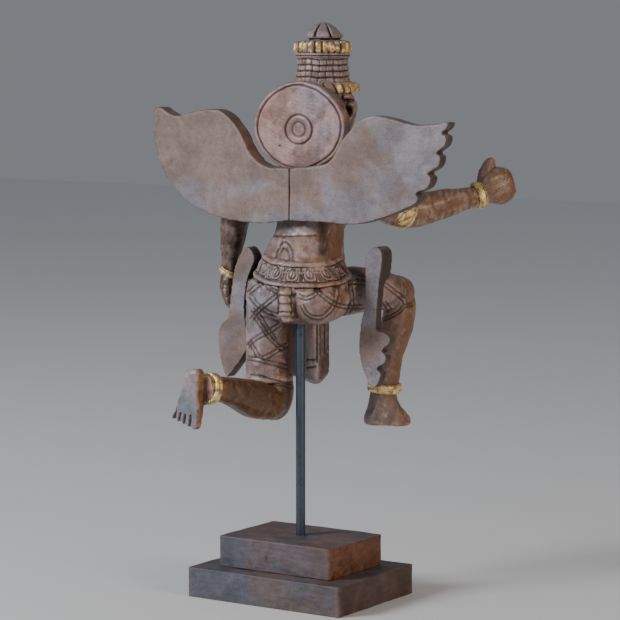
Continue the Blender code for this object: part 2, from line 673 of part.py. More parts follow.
def make_toes(forms):
    """Make five toes on each foot, the big toe on the inner side."""
    toe_row("left_toe", forms, LEFT_TOE, LEFT_TOE_STEP, 4.6, (0.0, 0.0, -1.6))
    toe_row("right_toe", forms, RIGHT_TOE, RIGHT_TOE_STEP, 5.6, (-0.8, -2.2, -1.0))


def make_dress(forms):
    """Make the front panel of the dhoti, the tail piece, the hems and the jewellery."""
    loft("front_panel", forms, FRONT_PANEL[::-1], sides=12, square=4.0)
    for k in range(PANEL_FOLDS):
        top = (-4.0 + PANEL_FOLD_STEP[0] * k, -56.0, 150.0, 2.6, 3.0)
        foot = (-6.0 + PANEL_FOLD_STEP[1] * k, -57.0, 64.0, 3.0, 3.4)
        loft("panel_fold", forms, [foot, top], sides=6)
    loft("tail", forms, TAIL[::-1], sides=8, square=3.0)
    for k in range(TAIL_STEPS):
        low = TAIL[-1][2] + 4.0 + TAIL_STEP_HEIGHT * k
        back = 40.0 + 0.6 * k
        step = [(-8.5, back, low, 8.5, 9.0), (-8.5, back - 0.5, low + 6.0, 7.0, 8.0)]
        loft("tail_step", forms, step, sides=8, square=3.0, level=True)
    band("collar", forms, *COLLAR, count=14)
    band("necklace", forms, *NECKLACE, count=14)
    band("left_hem", forms, *LEFT_HEM)
    band("right_hem", forms, *RIGHT_HEM)
    band("left_anklet", forms, *LEFT_ANKLET)
    band("right_anklet", forms, *RIGHT_ANKLET)
    band("right_bracelet", forms, *RIGHT_BRACELET)
    band("left_bracelet", forms, *LEFT_BRACELET)
    band("right_armband", forms, *RIGHT_ARMBAND)
    band("left_armband", forms, *LEFT_ARMBAND, side=(0, 0, 1))


def make_grooves(grooves):
    """Make the cutters of the lines carved round the thighs: a lattice, rings and crossings."""
    for low in (78.0, 100.0):
        for lean, lift, count in ((-0.75, 0.0, 12), (0.66, 1.7, 13)):
            spot = (40.7, 0.3, low + lift)
            band("left_line", grooves, spot, (lean, 0.05, 1), 29.0, 24.9, GROOVE, count=count)
    axis = Vector(RIGHT_THIGH[3][:3]) - Vector(RIGHT_THIGH[1][:3])
    axis.normalize()
    for share, radius in ((0.25, 27.2), (0.62, 23.6), (0.95, 21.0)):
        spot = Vector(RIGHT_THIGH[1][:3]).lerp(Vector(RIGHT_THIGH[3][:3]), share)
        band("right_line", grooves, spot, axis, radius, radius + 0.6, GROOVE, count=12)
    for radius in (10.0, 17.0):
        for sign, lobe in ((1.0, LEFT_BUTTOCK), (-1.0, RIGHT_BUTTOCK)):
            x, y, z = lobe[0]
            depth = lobe[1][1] * math.sqrt(1.0 - (radius / lobe[1][0]) ** 2)
            out = (x + sign * 3.0, y + depth - 0.6, z - 2.0)
            band("seat_line", grooves, out, (0, 1, 0), radius, radius, GROOVE, count=12)


def make_figure(group, forms, helpers, grooves, finish):
    """Join every carved form into one solid, carve its lines and bore it for the rod."""
    figure = loft("figure", group, TORSO, level=True, sides=16)
    make_head(forms)
    make_crown(forms)
    make_belt(forms)
    make_limbs(forms)
    make_toes(forms)
    make_dress(forms)
    for form in forms.objects:
        hide(form)
    boolean(figure, "UNION", forms)
    make_grooves(grooves)
    for line in grooves.objects:
        hide(line)
    boolean(figure, "DIFFERENCE", grooves)
    thin = figure.modifiers.new("merge_slivers", "DECIMATE")
    thin.ratio = KEPT_TRIANGLES
    bottom = BASE_TOP
    top = BASE_TOP + ROD_SHOWN + ROD_IN_FIGURE + GAP
    boolean(figure, "DIFFERENCE", bored(helpers, "figure_hole", bottom, top))
    figure.data.materials.append(finish)


def make_feathers(name, group, sign, matrix):
    """Raise the long feathers and one row of short ones on the front of a wing."""
    made = []
    front = -WING_THICKNESS / PART
    for k in range(WING_FEATHERS):
        share = k / (WING_FEATHERS - 1.0)
        root = (sign * (66.0 + 4.0 * share), front + 2.0, 306.0 - 48.0 * share)
        tip_turn = math.radians(14.0 - 44.0 * share)
        reach = 118.0 - 70.0 * share
        across = sign * reach * math.cos(tip_turn)
        tip = (root[0] + across, front + 2.0, root[2] + reach * math.sin(tip_turn))
        middle = tuple((a + b) / 2.0 for a, b in zip(root, tip))
        stations = [(*root, 5.0, 3.6), (*middle, 7.5, 4.4), (*tip, 3.5, 3.0)]
        made.append(loft(name + "_feather", group, stations, side=(0, 0, 1), sides=6))
    for k in range(WING_COVERTS):
        share = k / (WING_COVERTS - 1.0)
        turn = math.radians(62.0 - 128.0 * share)
        spot = (sign * (62.0 + 22.0 * math.cos(turn)), front + 2.2, 268.0 + 26.0 * math.sin(turn))
        made.append(ball(name + "_covert", group, spot, (11.0, 4.0, 8.5), 8, 5))
    for form in made:
        form.data.transform(matrix)
        hide(form)


def make_wing(name, group, helpers, outline, sign, finish):
    """Cut one wing board, sweep it forward and raise rows of feathers on its front."""
    turn = Matrix.Rotation(-sign * WING_SWEEP, 4, "Z")
    seam = Matrix.Translation((sign * WING_SEAM_GAP / 2.0, WING_BACK * PART, 0.0))
    lie = upright(0.0, -WING_THICKNESS / 2.0)
    sided = [(sign * s, z, kind) for s, z, kind in outline]
    wing = board(name, group, sided, WING_THICKNESS, seam @ turn @ lie)
    half = block(
        name + "_seam_cut", helpers, (0.1, 0.2, 1.0),
        Matrix.Translation((-sign * (0.05 - WING_SEAM_GAP / 2.0), WING_BACK * PART, 0.4)),
    )
    boolean(wing, "DIFFERENCE", hide(half))
    rounded(wing, BOARD_ROUNDING)
    feathers = new_collection(name + "_feathers")
    make_feathers(name, feathers, sign, seam @ turn)
    boolean(wing, "UNION", feathers)
    wing.data.materials.append(finish)


def make_sash(name, group, outline, lie, clearances, finish):
    """Cut one side band of the dress, with its back and thickness, and clear it from the limbs."""
    back, thickness = lie
    matrix = upright(0.0, back * PART - thickness / 2.0)
    sash = board(name, group, outline, thickness, matrix)
    for cutter in clearances:
        boolean(sash, "DIFFERENCE", hide(cutter))
    rounded(sash, BOARD_ROUNDING)
    sash.data.materials.append(finish)


def main():
    """Build the statue."""
    clear_scene()
    statue = new_collection("garuda_statue")
    forms = new_collection("figure_forms")
    helpers = new_collection("cutters")
    grooves = new_collection("groove_cutters")
    carved = wood("carved_wood", (0.16, 0.085, 0.06))
    sawn = wood("sawn_wood", (0.14, 0.11, 0.10), 0.7)
    dark = wood("base_wood", (0.09, 0.055, 0.045), 0.65)
    steel = wood("rod_steel", (0.10, 0.11, 0.13), 0.4, 0.9)
    make_base(statue, helpers, dark)
    make_rod(statue, steel)
    make_figure(statue, forms, helpers, grooves, carved)
    make_wing("left_wing", statue, helpers, LEFT_WING, 1.0, sawn)
    make_wing("right_wing", statue, helpers, RIGHT_WING, -1.0, sawn)
    near_left = [
        loft("left_thigh_clear", helpers, LEFT_THIGH[::-1], grow=GAP),
        loft("hips_clear", helpers, HIPS[::-1], level=True, sides=16, grow=GAP),
        ball("left_buttock_clear", helpers, *LEFT_BUTTOCK, grow=GAP),
        loft("belt_clear", helpers, BELT_ROOM, level=True, sides=24, square=2.0),
        band("left_hem_clear", helpers, *LEFT_HEM[:4], LEFT_HEM[4] + GAP / PART),
    ]
    lie = (LEFT_SASH_BACK, LEFT_SASH_THICKNESS)
    make_sash("left_sash", statue, LEFT_SASH, lie, near_left, sawn)
    near_right = [loft("right_thigh_clear", helpers, RIGHT_THIGH, grow=GAP)]
    lie = (RIGHT_SASH_BACK, RIGHT_SASH_THICKNESS)
    make_sash("right_sash", statue, RIGHT_SASH, lie, near_right, sawn)


main()
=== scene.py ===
import logging
import math
from dataclasses import dataclass, field, replace
from enum import Enum
from typing import Callable, Sequence

import bpy
import numpy as np
from mathutils import Matrix, Vector


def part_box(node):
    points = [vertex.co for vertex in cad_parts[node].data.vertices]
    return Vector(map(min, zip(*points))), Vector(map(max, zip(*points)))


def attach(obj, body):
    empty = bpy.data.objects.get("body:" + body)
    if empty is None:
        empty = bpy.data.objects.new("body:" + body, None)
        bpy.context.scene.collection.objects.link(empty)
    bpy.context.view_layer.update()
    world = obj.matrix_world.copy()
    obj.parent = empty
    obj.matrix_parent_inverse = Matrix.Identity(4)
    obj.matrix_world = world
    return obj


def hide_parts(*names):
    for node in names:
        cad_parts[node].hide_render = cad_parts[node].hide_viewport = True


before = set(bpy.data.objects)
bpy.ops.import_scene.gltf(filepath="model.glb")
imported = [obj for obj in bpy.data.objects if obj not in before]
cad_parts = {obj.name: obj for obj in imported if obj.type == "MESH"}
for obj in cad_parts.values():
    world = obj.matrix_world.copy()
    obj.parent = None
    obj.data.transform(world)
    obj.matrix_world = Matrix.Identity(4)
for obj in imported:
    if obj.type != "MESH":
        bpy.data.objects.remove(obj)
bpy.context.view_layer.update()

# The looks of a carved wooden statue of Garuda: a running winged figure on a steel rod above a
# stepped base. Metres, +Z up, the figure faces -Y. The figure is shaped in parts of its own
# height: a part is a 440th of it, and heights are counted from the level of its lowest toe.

Array = np.ndarray
Row = tuple[float, ...]
Colour = tuple[float, float, float]
Outline = Sequence[tuple[float, float, str]]
Socket = bpy.types.NodeSocket
Material = bpy.types.Material
LOG = logging.getLogger("garuda_statue")


class Slot(Enum):
    """The material slots of the solids, as the record names them."""

    CARVED = "carved_wood"
    SAWN = "sawn_wood"
    BASE = "base_wood"
    ROD = "rod_steel"
    GILT = "gilt"


TURN = 2.0 * math.pi
PART = 0.001
CROWN_TOP = 440.0
FIGURE_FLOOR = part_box("figure")[1][2] - CROWN_TOP * PART
BODY = "root"

# The photograph's camera, from the corners of the base
CAMERA_PLACE = np.array((-1.5249, 2.27708, 0.59902))
CAMERA_BACK = np.array((-0.55028, 0.82824, 0.10592))
CAMERA_RIGHT = np.array((-0.83292, -0.55339, 0.0))
CAMERA_UP = np.cross(CAMERA_BACK, CAMERA_RIGHT)
FOCAL_PIXELS = 2600.0
FRAME_PIXELS = 620.0
SENSOR_MM = 36.0
# How far the camera stands round from straight behind the figure
VIEW_TURN = math.radians(33.6)
# The depth, in parts, at which the painted shade in a cut is full
FULL_CUT = 1.25


def to_metres(points: Array) -> Array:
    """Turn points in parts of the figure into metres in the row frame."""
    return np.asarray(points) * PART + np.array((0.0, 0.0, FIGURE_FLOOR))


def unit(vectors: Array) -> Array:
    """Scale vectors to length one along their last axis."""
    length = np.linalg.norm(vectors, axis=-1, keepdims=True)
    return vectors / np.maximum(length, 1e-12)


def clamp(value: Array) -> Array:
    """Hold values between 0 and 1."""
    return np.clip(value, 0.0, 1.0)


def ease(low: float, high: float, value: Array) -> Array:
    """Ease from 0 at low to 1 at high: 3t squared less 2t cubed."""
    t = clamp((value - low) / (high - low))
    return t * t * (3.0 - 2.0 * t)


def ripple(points: Array, size: float, seed: int, waves: int = 7) -> Array:
    """Make a smooth uneven field, about -1 to 1.

    It is a sum of sine waves in seeded directions, each about one size long.

    Args:
        points: places, n by 3.
        size: the length of a swell, in the same units.
        seed: seed of the directions and phases.
        waves: how many sines are added.

    Returns:
        One value for each place.
    """
    draw = np.random.default_rng(seed)
    ways = unit(draw.normal(size=(waves, 3))) * (TURN / size)
    ways *= draw.uniform(0.6, 1.5, size=(waves, 1))
    phase = draw.uniform(0.0, TURN, size=waves)
    return np.sin(points @ ways.T + phase).sum(axis=1) / math.sqrt(waves)


def flowing(rows: Sequence[Row], per: int) -> Array:
    """Pass a smooth curve through rows of numbers, a Catmull-Rom spline.

    Args:
        rows: the rows to pass through.
        per: how many steps lie between two rows.

    Returns:
        The rows of the curve, the given ones among them.
    """
    given = np.asarray(rows, dtype=float)
    first = 2.0 * given[0] - given[1]
    last = 2.0 * given[-1] - given[-2]
    held = np.vstack((first, given, last))
    t = np.linspace(0.0, 1.0, per, endpoint=False)[None, :, None]
    a, b, c, d = (held[k : len(held) - 3 + k, None, :] for k in range(4))
    curve = 0.5 * (2.0 * b + (c - a) * t + (2.0 * a - 5.0 * b + 4.0 * c - d) * t**2
                   + (3.0 * b - a - 3.0 * c + d) * t**3)
    return np.vstack((curve.reshape(-1, given.shape[1]), given[-1:]))


def closed_curve(points: Outline, per: int) -> Array:
    """Run a closed outline through points.

    Each span is a cubic whose end slopes are those of a Catmull-Rom curve at a smooth point
    and those of the straight chord at a corner.

    Args:
        points: rows of x, z and a kind, "s" for smooth or "c" for a corner.
        per: how many steps lie between two points.

    Returns:
        The outline's places, n by 2.
    """
    given = np.array([(p[0], p[1]) for p in points])
    soft = np.array([p[2] == "s" for p in points])[:, None]
    after = np.roll(given, -1, axis=0)
    before = np.roll(given, 1, axis=0)
    swing = (after - before) / 2.0
    leave = np.where(soft, swing, after - given)
    arrive = np.roll(np.where(soft, swing, given - before), -1, axis=0)
    t = np.linspace(0.0, 1.0, per, endpoint=False)[None, :, None]
    a, b = given[:, None, :], after[:, None, :]
    m, n = leave[:, None, :], arrive[:, None, :]
    curve = ((2 * t**3 - 3 * t**2 + 1) * a + (t**3 - 2 * t**2 + t) * m
             + (3 * t**2 - 2 * t**3) * b + (t**3 - t**2) * n)
    return curve.reshape(-1, 2)


@dataclass
class Shell:
    """A grid surface: rows by columns of points, in parts, and the faces between them."""

    points: Array
    faces: list[list[int]]


def grid_faces(rows: int, columns: int, wrap_rows: bool = False) -> Array:
    """Index the quads of a grid whose columns close round.

    Args:
        rows: how many rows of points there are.
        columns: how many points a row has.
        wrap_rows: joins the last row to the first as well.

    Returns:
        The four point numbers of each quad.
    """
    count = rows if wrap_rows else rows - 1
    i = np.arange(count)[:, None]
    j = np.arange(columns)[None, :]
    down = (i + 1) % rows
    side = (j + 1) % columns
    upper = (i * columns + j, i * columns + side)
    lower = (down * columns + side, down * columns + j)
    return np.stack(upper + lower, axis=-1).reshape(-1, 4)


def oval(count: int, square: float) -> tuple[Array, Array]:
    """Give a rounded section: the cosine and sine of each turn, each to the power 2 / square."""
    turn = TURN * (np.arange(count) + 0.5) / count
    c, s = np.cos(turn), np.sin(turn)
    power = 2.0 / square
    return np.sign(c) * np.abs(c) ** power, np.sign(s) * np.abs(s) ** power


def loft(
    stations: Sequence[Row], side: Row = (1, 0, 0), square: float = 2.3, level: bool = False,
    per: int = 8, columns: int = 40,
) -> Shell:
    """Carry an oval section along a smooth path.

    A point is the path's centre + width axis * half width * cos + depth axis * half depth *
    sin, and both ends are drawn together to a point.

    Args:
        stations: rows of x, y, z, half width and half depth, in parts.
        side: the way that the width lies along, as far as the path allows.
        square: 2 for an ellipse, more for a boxier section.
        level: keeps every section horizontal.
        per: steps between two stations.
        columns: points round a section.

    Returns:
        The shell.
    """
    rows = flowing(stations, per)
    centre = rows[:, :3]
    along = unit(np.gradient(centre, axis=0))
    if level:
        along = np.broadcast_to(np.array((0.0, 0.0, 1.0)), along.shape)
    aside = np.asarray(side, dtype=float)
    width = unit(aside - along * (along @ aside)[:, None])
    depth = np.cross(along, width)
    c, s = oval(columns, square)
    wide = np.maximum(rows[:, 3], 0.2)[:, None, None]
    deep = np.maximum(rows[:, 4], 0.2)[:, None, None]
    ring = centre[:, None, :] + width[:, None, :] * wide * c[None, :, None]
    ring = ring + depth[:, None, :] * deep * s[None, :, None]
    first = np.broadcast_to(centre[0], (1, columns, 3))
    last = np.broadcast_to(centre[-1], (1, columns, 3))
    grid = np.concatenate((first, ring, last))
    faces = grid_faces(len(grid), columns)
    return Shell(grid.reshape(-1, 3), faces.tolist())


def egg(centre: Row, radii: Row, rows: int = 24, columns: int = 36) -> Shell:
    """Make an ellipsoid: centre + radii * (sin a cos b, sin a sin b, cos a)."""
    a = np.linspace(0.0, math.pi, rows)[:, None]
    b = TURN * np.arange(columns)[None, :] / columns
    ball = np.stack((np.sin(a) * np.cos(b), np.sin(a) * np.sin(b), np.cos(a) + 0.0 * b), axis=-1)
    grid = np.asarray(centre) + ball * np.asarray(radii)
    return Shell(grid.reshape(-1, 3), grid_faces(rows, columns).tolist())


def turned(profile: Sequence[tuple[float, float]], centre: Row, columns: int = 96, axis: str = "z",
           stretch: float = 1.0) -> Shell:
    """Turn a profile of radius and height round an axis: (r cos b, r sin b, h).

    Args:
        profile: rows of radius and height.
        centre: where height 0 of the axis lies.
        columns: points round the axis.
        axis: "z" for an upright axis, "y" for one from front to back.
        stretch: how much wider than deep the section is.

    Returns:
        The shell.
    """
    line = np.asarray(profile, dtype=float)
    b = TURN * np.arange(columns) / columns
    x = line[:, 0:1] * np.cos(b) * stretch
    other = line[:, 0:1] * np.sin(b)
    high = line[:, 1:2] + 0.0 * b
    grid = np.stack((x, other, high) if axis == "z" else (x, high, other), axis=-1)
    grid = grid + np.asarray(centre)
    return Shell(grid.reshape(-1, 3), grid_faces(len(line), columns).tolist())


def hoop(centre: Row, along: Row, wide: float, deep: float, thick: float, tall: float,
         side: Row = (1, 0, 0), columns: int = 72) -> Shell:
    """Carry a small oval section round a limb's oval.

    Args:
        centre: the middle of the hoop.
        along: the way the limb runs.
        wide: half the limb's width.
        deep: half the limb's depth.
        thick: half the section's size outwards from the limb.
        tall: half the section's size along the limb.
        side: the way that the limb's width lies along.
        columns: points round the limb.

    Returns:
        The shell.
    """
    axis = unit(np.asarray(along, dtype=float))
    aside = np.asarray(side, dtype=float)
    width = unit(aside - axis * (axis @ aside))
    depth = np.cross(axis, width)
    c, s = oval(columns, 2.2)
    middle = width * wide * c[:, None] + depth * deep * s[:, None]
    out = unit(middle)
    turn = TURN * np.arange(12) / 12.0
    ring = middle[None, :, :] + out[None, :, :] * (thick * np.cos(turn))[:, None, None]
    ring = ring + axis * (tall * np.sin(turn))[:, None, None] + np.asarray(centre)
    return Shell(ring.reshape(-1, 3), grid_faces(12, columns, wrap_rows=True).tolist())


def plank(outline: Array, thickness: float, place: Callable[[Array], Array]) -> Shell:
    """Give a flat outline a thickness: one many-sided face each side and a strip between.

    Args:
        outline: places of x and z.
        thickness: how far the board reaches to the front.
        place: moves the board's points to where it stands.

    Returns:
        The shell.
    """
    count = len(outline)
    front = np.column_stack((outline[:, 0], np.full(count, -thickness), outline[:, 1]))
    rear = np.column_stack((outline[:, 0], np.zeros(count), outline[:, 1]))
    points = place(np.vstack((front, rear)))
    faces = [list(range(count)), list(range(2 * count - 1, count - 1, -1))]
    faces += grid_faces(2, count).tolist()
    return Shell(points, faces)


@dataclass
class Carving:
    """A piece of wood: shells fused into one surface, then cut by fields of depth.

    Attributes:
        name: the piece's name.
        voxel: the grain of the fused surface, in parts, where shells are fused.
        relax: rounds of smoothing after the shells are fused.
        edge: how far a worn and highlit edge stands out, in parts.
        shells: the shells that are added before they are fused.
        points: the surface's points, in parts.
        quads: the four point numbers of each face.
        edges: the two point numbers of each edge.
        painted_shade: how dark shade is painted at each point: in cuts, hollows and shaded places.
        dust: how much dust lies at each point; on wood it also carries painted sheen, on gilt it bares
            the wood.
    """

    name: str
    voxel: float = 1.0
    relax: int = 4
    edge: float = 0.42
    shells: list[Shell] = field(default_factory=list)
    points: Array = field(default_factory=lambda: np.zeros((0, 3)))
    quads: Array = field(default_factory=lambda: np.zeros((0, 4), dtype=int))
    edges: Array = field(default_factory=lambda: np.zeros((0, 2), dtype=int))
    painted_shade: Array = field(default_factory=lambda: np.zeros(0))
    dust: Array = field(default_factory=lambda: np.zeros(0))

    def add(self, *shells: Shell) -> None:
        """Add shells to the piece."""
        self.shells.extend(shells)

    def fuse(self) -> None:
        """Fuse the shells on a fine lattice and read the one surface back."""
        points = np.vstack([s.points for s in self.shells])
        faces = []
        start = 0
        for shell in self.shells:
            faces += [[i + start for i in face] for face in shell.faces]
            start += len(shell.points)
        mesh = bpy.data.meshes.new(self.name + "_rough")
        mesh.from_pydata(points.tolist(), [], faces)
        rough = show(bpy.data.objects.new(self.name + "_rough", mesh))
        step = rough.modifiers.new("fuse", "REMESH")
        step.mode = "VOXEL"
        step.voxel_size = self.voxel
        step.adaptivity = 0.0
        view = bpy.context.evaluated_depsgraph_get()
        fused = bpy.data.meshes.new_from_object(rough.evaluated_get(view))
        self._read(fused)
        bpy.data.objects.remove(rough, do_unlink=True)
        bpy.data.meshes.remove(fused)
        bpy.data.meshes.remove(mesh)
        self._clear_marks()
        for _ in range(self.relax):
            for share in (0.6, -0.62):
                self.points = self.points * (1.0 - share) + self.around(self.points) * share

    def soften(self, rounds: int) -> None:
        """Take the lattice's steps out: move each point halfway to its neighbours' middle."""
        for _ in range(rounds):
            self.points = (self.points + self.around(self.points)) / 2.0

    def take(self, shell: Shell) -> None:
        """Use one grid as it is, without fusing."""
        self.points = np.array(shell.points, dtype=float)
        self.quads = np.array(shell.faces, dtype=np.int64)
        pairs = np.vstack([self.quads[:, [k, (k + 1) % 4]] for k in range(4)])
        self.edges = np.unique(np.sort(pairs, axis=1), axis=0)
        self._clear_marks()

    def _clear_marks(self) -> None:
        """Start without painted shade and dust."""
        self.painted_shade = np.zeros(len(self.points))
        self.dust = np.zeros(len(self.points))

    def _read(self, mesh: bpy.types.Mesh) -> None:
        """Read the fused mesh's points, quads and edges."""
        flat = np.zeros(len(mesh.vertices) * 3)
        mesh.vertices.foreach_get("co", flat)
        self.points = flat.reshape(-1, 3)
        loops = np.zeros(len(mesh.loops), dtype=np.int64)
        mesh.loops.foreach_get("vertex_index", loops)
        self.quads = loops.reshape(-1, 4)
        ends = np.zeros(len(mesh.edges) * 2, dtype=np.int64)
        mesh.edges.foreach_get("vertices", ends)
        self.edges = ends.reshape(-1, 2)

    def around(self, values: Array) -> Array:
        """Average each point's neighbours."""
        a, b = self.edges[:, 0], self.edges[:, 1]
        count = len(self.points)
        near = np.bincount(np.concatenate((a, b)), minlength=count)
        flat = values.reshape(count, -1)
        total = np.stack([
            np.bincount(np.concatenate((a, b)), np.concatenate((col[b], col[a])), minlength=count)
            for col in flat.T
        ], axis=1)
        return (total / np.maximum(near, 1)[:, None]).reshape(values.shape)

    def _averaged(self, values: Array, rounds: int) -> Array:
        """Average neighbours for a number of rounds."""
        for _ in range(rounds):
            values = self.around(values)
        return values

    def normals(self) -> Array:
        """Give each point's outward direction, from the quads round it."""
        corner = self.points[self.quads]
        face = np.cross(corner[:, 2] - corner[:, 0], corner[:, 3] - corner[:, 1])
        index = self.quads.ravel()
        spread = np.repeat(face, 4, axis=0)
        total = np.stack([
            np.bincount(index, spread[:, k], minlength=len(self.points)) for k in range(3)
        ], axis=1)
        return unit(total)

    def cut(self, depth: Array, shade: Array | None = None) -> None:
        """Sink the surface by a depth, in parts, and paint shade into it."""
        self.points = self.points - self.normals() * depth[:, None]
        if shade is not None:
            self.painted_shade = np.maximum(self.painted_shade, shade)

    def finish(self, material: Material,
               node: str = "figure") -> bpy.types.Object:
        """Make the object, with its marks for the finish, and hide the solid that it stands for.

        The marks are "painted_shade" and "dust", "wear_and_shade", which is how far a point stands out
        from its calm surroundings and lightens worn edges with painted highlight and paints shade in
        hollows, and "near", which is how much shade is painted round about.

        Args:
            material: the finish.
            node: the solid that the piece stands for.

        Returns:
            The object.
        """
        calm = self._averaged(self.points, 8)
        bulge = ((self.points - calm) * self.normals()).sum(axis=1)
        wear_and_shade = np.clip(self.around(bulge) / self.edge, -1.0, 1.0)
        # How much shade is painted round about: the painted shade blurred out, to paint more shade
        # near cuts
        near = clamp((self._averaged(self.painted_shade, 12) - 0.12) * 3.0)
        made = new_object(self.name, to_metres(self.points), self.quads)
        marks = {"painted_shade": self.painted_shade, "wear_and_shade": wear_and_shade, "dust": self.dust, "near": near}
        for label, values in marks.items():
            store = made.data.attributes.new(label, "FLOAT", "POINT")
            store.data.foreach_set("value", values.astype(np.float32))
        dress(made, material, node)
        LOG.info("%s: %d quads", self.name, len(self.quads))
        return made


def show(made: bpy.types.Object) -> bpy.types.Object:
    """Put an object into the scene."""
    bpy.context.scene.collection.objects.link(made)
    return made


def new_object(name: str, points: Array, quads: Array) -> bpy.types.Object:
    """Make an object at the origin from points in metres and quads, smooth shaded."""
    mesh = bpy.data.meshes.new(name)
    mesh.vertices.add(len(points))
    mesh.vertices.foreach_set("co", np.ascontiguousarray(points, dtype=np.float32).ravel())
    mesh.loops.add(quads.size)
    mesh.loops.foreach_set("vertex_index", quads.ravel().astype(np.int32))
    mesh.polygons.add(len(quads))
    mesh.polygons.foreach_set("loop_start", np.arange(0, quads.size, 4, dtype=np.int32))
    mesh.polygons.foreach_set("use_smooth", np.ones(len(quads), dtype=bool))
    mesh.update(calc_edges=True)
    mesh.validate()
    return show(bpy.data.objects.new(name, mesh))


def dress(piece: bpy.types.Object, material: Material, node: str) -> None:
    """Give a piece its finish and its body, and hide the solid that it stands for."""
    piece.data.materials.append(material)
    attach(piece, BODY)
    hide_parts(node)


class Sheet:
    """A material's node sheet, with short calls to add and link nodes."""

    def __init__(self, name: str) -> None:
        """Start an empty material with a Principled shader on its output."""
        self.material = bpy.data.materials.new(name)
        self.material.use_nodes = True
        self.tree = self.material.node_tree
        self.tree.nodes.clear()
        self.shader = self.add("BsdfPrincipled")
        end = self.add("OutputMaterial")
        self.tree.links.new(self.shader.outputs[0], end.inputs["Surface"])
        self.place = self.add("TexCoord").outputs["Object"]

    def link(self, source: Socket, target: Socket) -> None:
        """Link two sockets."""
        self.tree.links.new(source, target)

    def add(self, kind: str, **inputs: float | Row) -> bpy.types.Node:
        """Add a node and set its inputs, named with _ for a space."""
        node = self.tree.nodes.new("ShaderNode" + kind)
        for label, value in inputs.items():
            node.inputs[label.replace("_", " ")].default_value = value
        return node

    def stretched(self, scale: Row, turn: Row = (0.0, 0.0, 0.0)) -> Socket:
        """Scale and turn the object's coordinates."""
        node = self.add("Mapping", Scale=scale, Rotation=turn)
        self.link(self.place, node.inputs["Vector"])
        return node.outputs[0]

    def noise(self, scale: float, detail: float = 3.0, rough: float = 0.55,
              where: Socket | None = None, warp: float = 0.0) -> Socket:
        """Add a noise and give its value."""
        node = self.add("TexNoise", Scale=scale, Detail=detail, Roughness=rough, Distortion=warp)
        self.link(where or self.place, node.inputs["Vector"])
        return node.outputs["Fac"]

    def span(self, value: Socket, low: float, high: float, to_low: float = 0.0,
             to_high: float = 1.0) -> Socket:
        """Map a range of values to another, clamped and eased."""
        node = self.add("MapRange", From_Min=low, From_Max=high, To_Min=to_low, To_Max=to_high)
        node.interpolation_type = "SMOOTHSTEP"
        self.link(value, node.inputs["Value"])
        return node.outputs[0]

    def maths(self, kind: str, a: Socket, b: Socket | float) -> Socket:
        """Join two values by a kind of sum."""
        node = self.add("Math")
        node.operation = kind
        self.link(a, node.inputs[0])
        if isinstance(b, float):
            node.inputs[1].default_value = b
        else:
            self.link(b, node.inputs[1])
        return node.outputs[0]

    def blend(self, share: Socket | float, a: Socket | Colour,
              b: Socket | Colour, kind: str = "MIX") -> Socket:
        """Mix two colours by a share."""
        node = self.add("Mix")
        node.data_type = "RGBA"
        node.blend_type = kind
        if isinstance(share, float):
            node.inputs[0].default_value = share
        else:
            self.link(share, node.inputs[0])
        for given, socket in ((a, node.inputs[6]), (b, node.inputs[7])):
            if isinstance(given, tuple):
                socket.default_value = (*given, 1.0)
            else:
                self.link(given, socket)
        return node.outputs[2]

    def split(self, source: Socket) -> bpy.types.NodeOutputs:
        """Part a direction or a place into its X, Y and Z."""
        node = self.add("SeparateXYZ")
        self.link(source, node.inputs[0])
        return node.outputs

    def mark(self, name: str) -> Socket:
        """Read a mark that is stored on the piece's points."""
        node = self.add("Attribute")
        node.attribute_name = name
        return node.outputs["Fac"]

    def bump(self, height: Socket, distance: float) -> None:
        """Roughen the surface by a height of up to a distance, in metres."""
        node = self.add("Bump", Distance=distance)
        self.link(height, node.inputs["Height"])
        self.link(node.outputs[0], self.shader.inputs["Normal"])


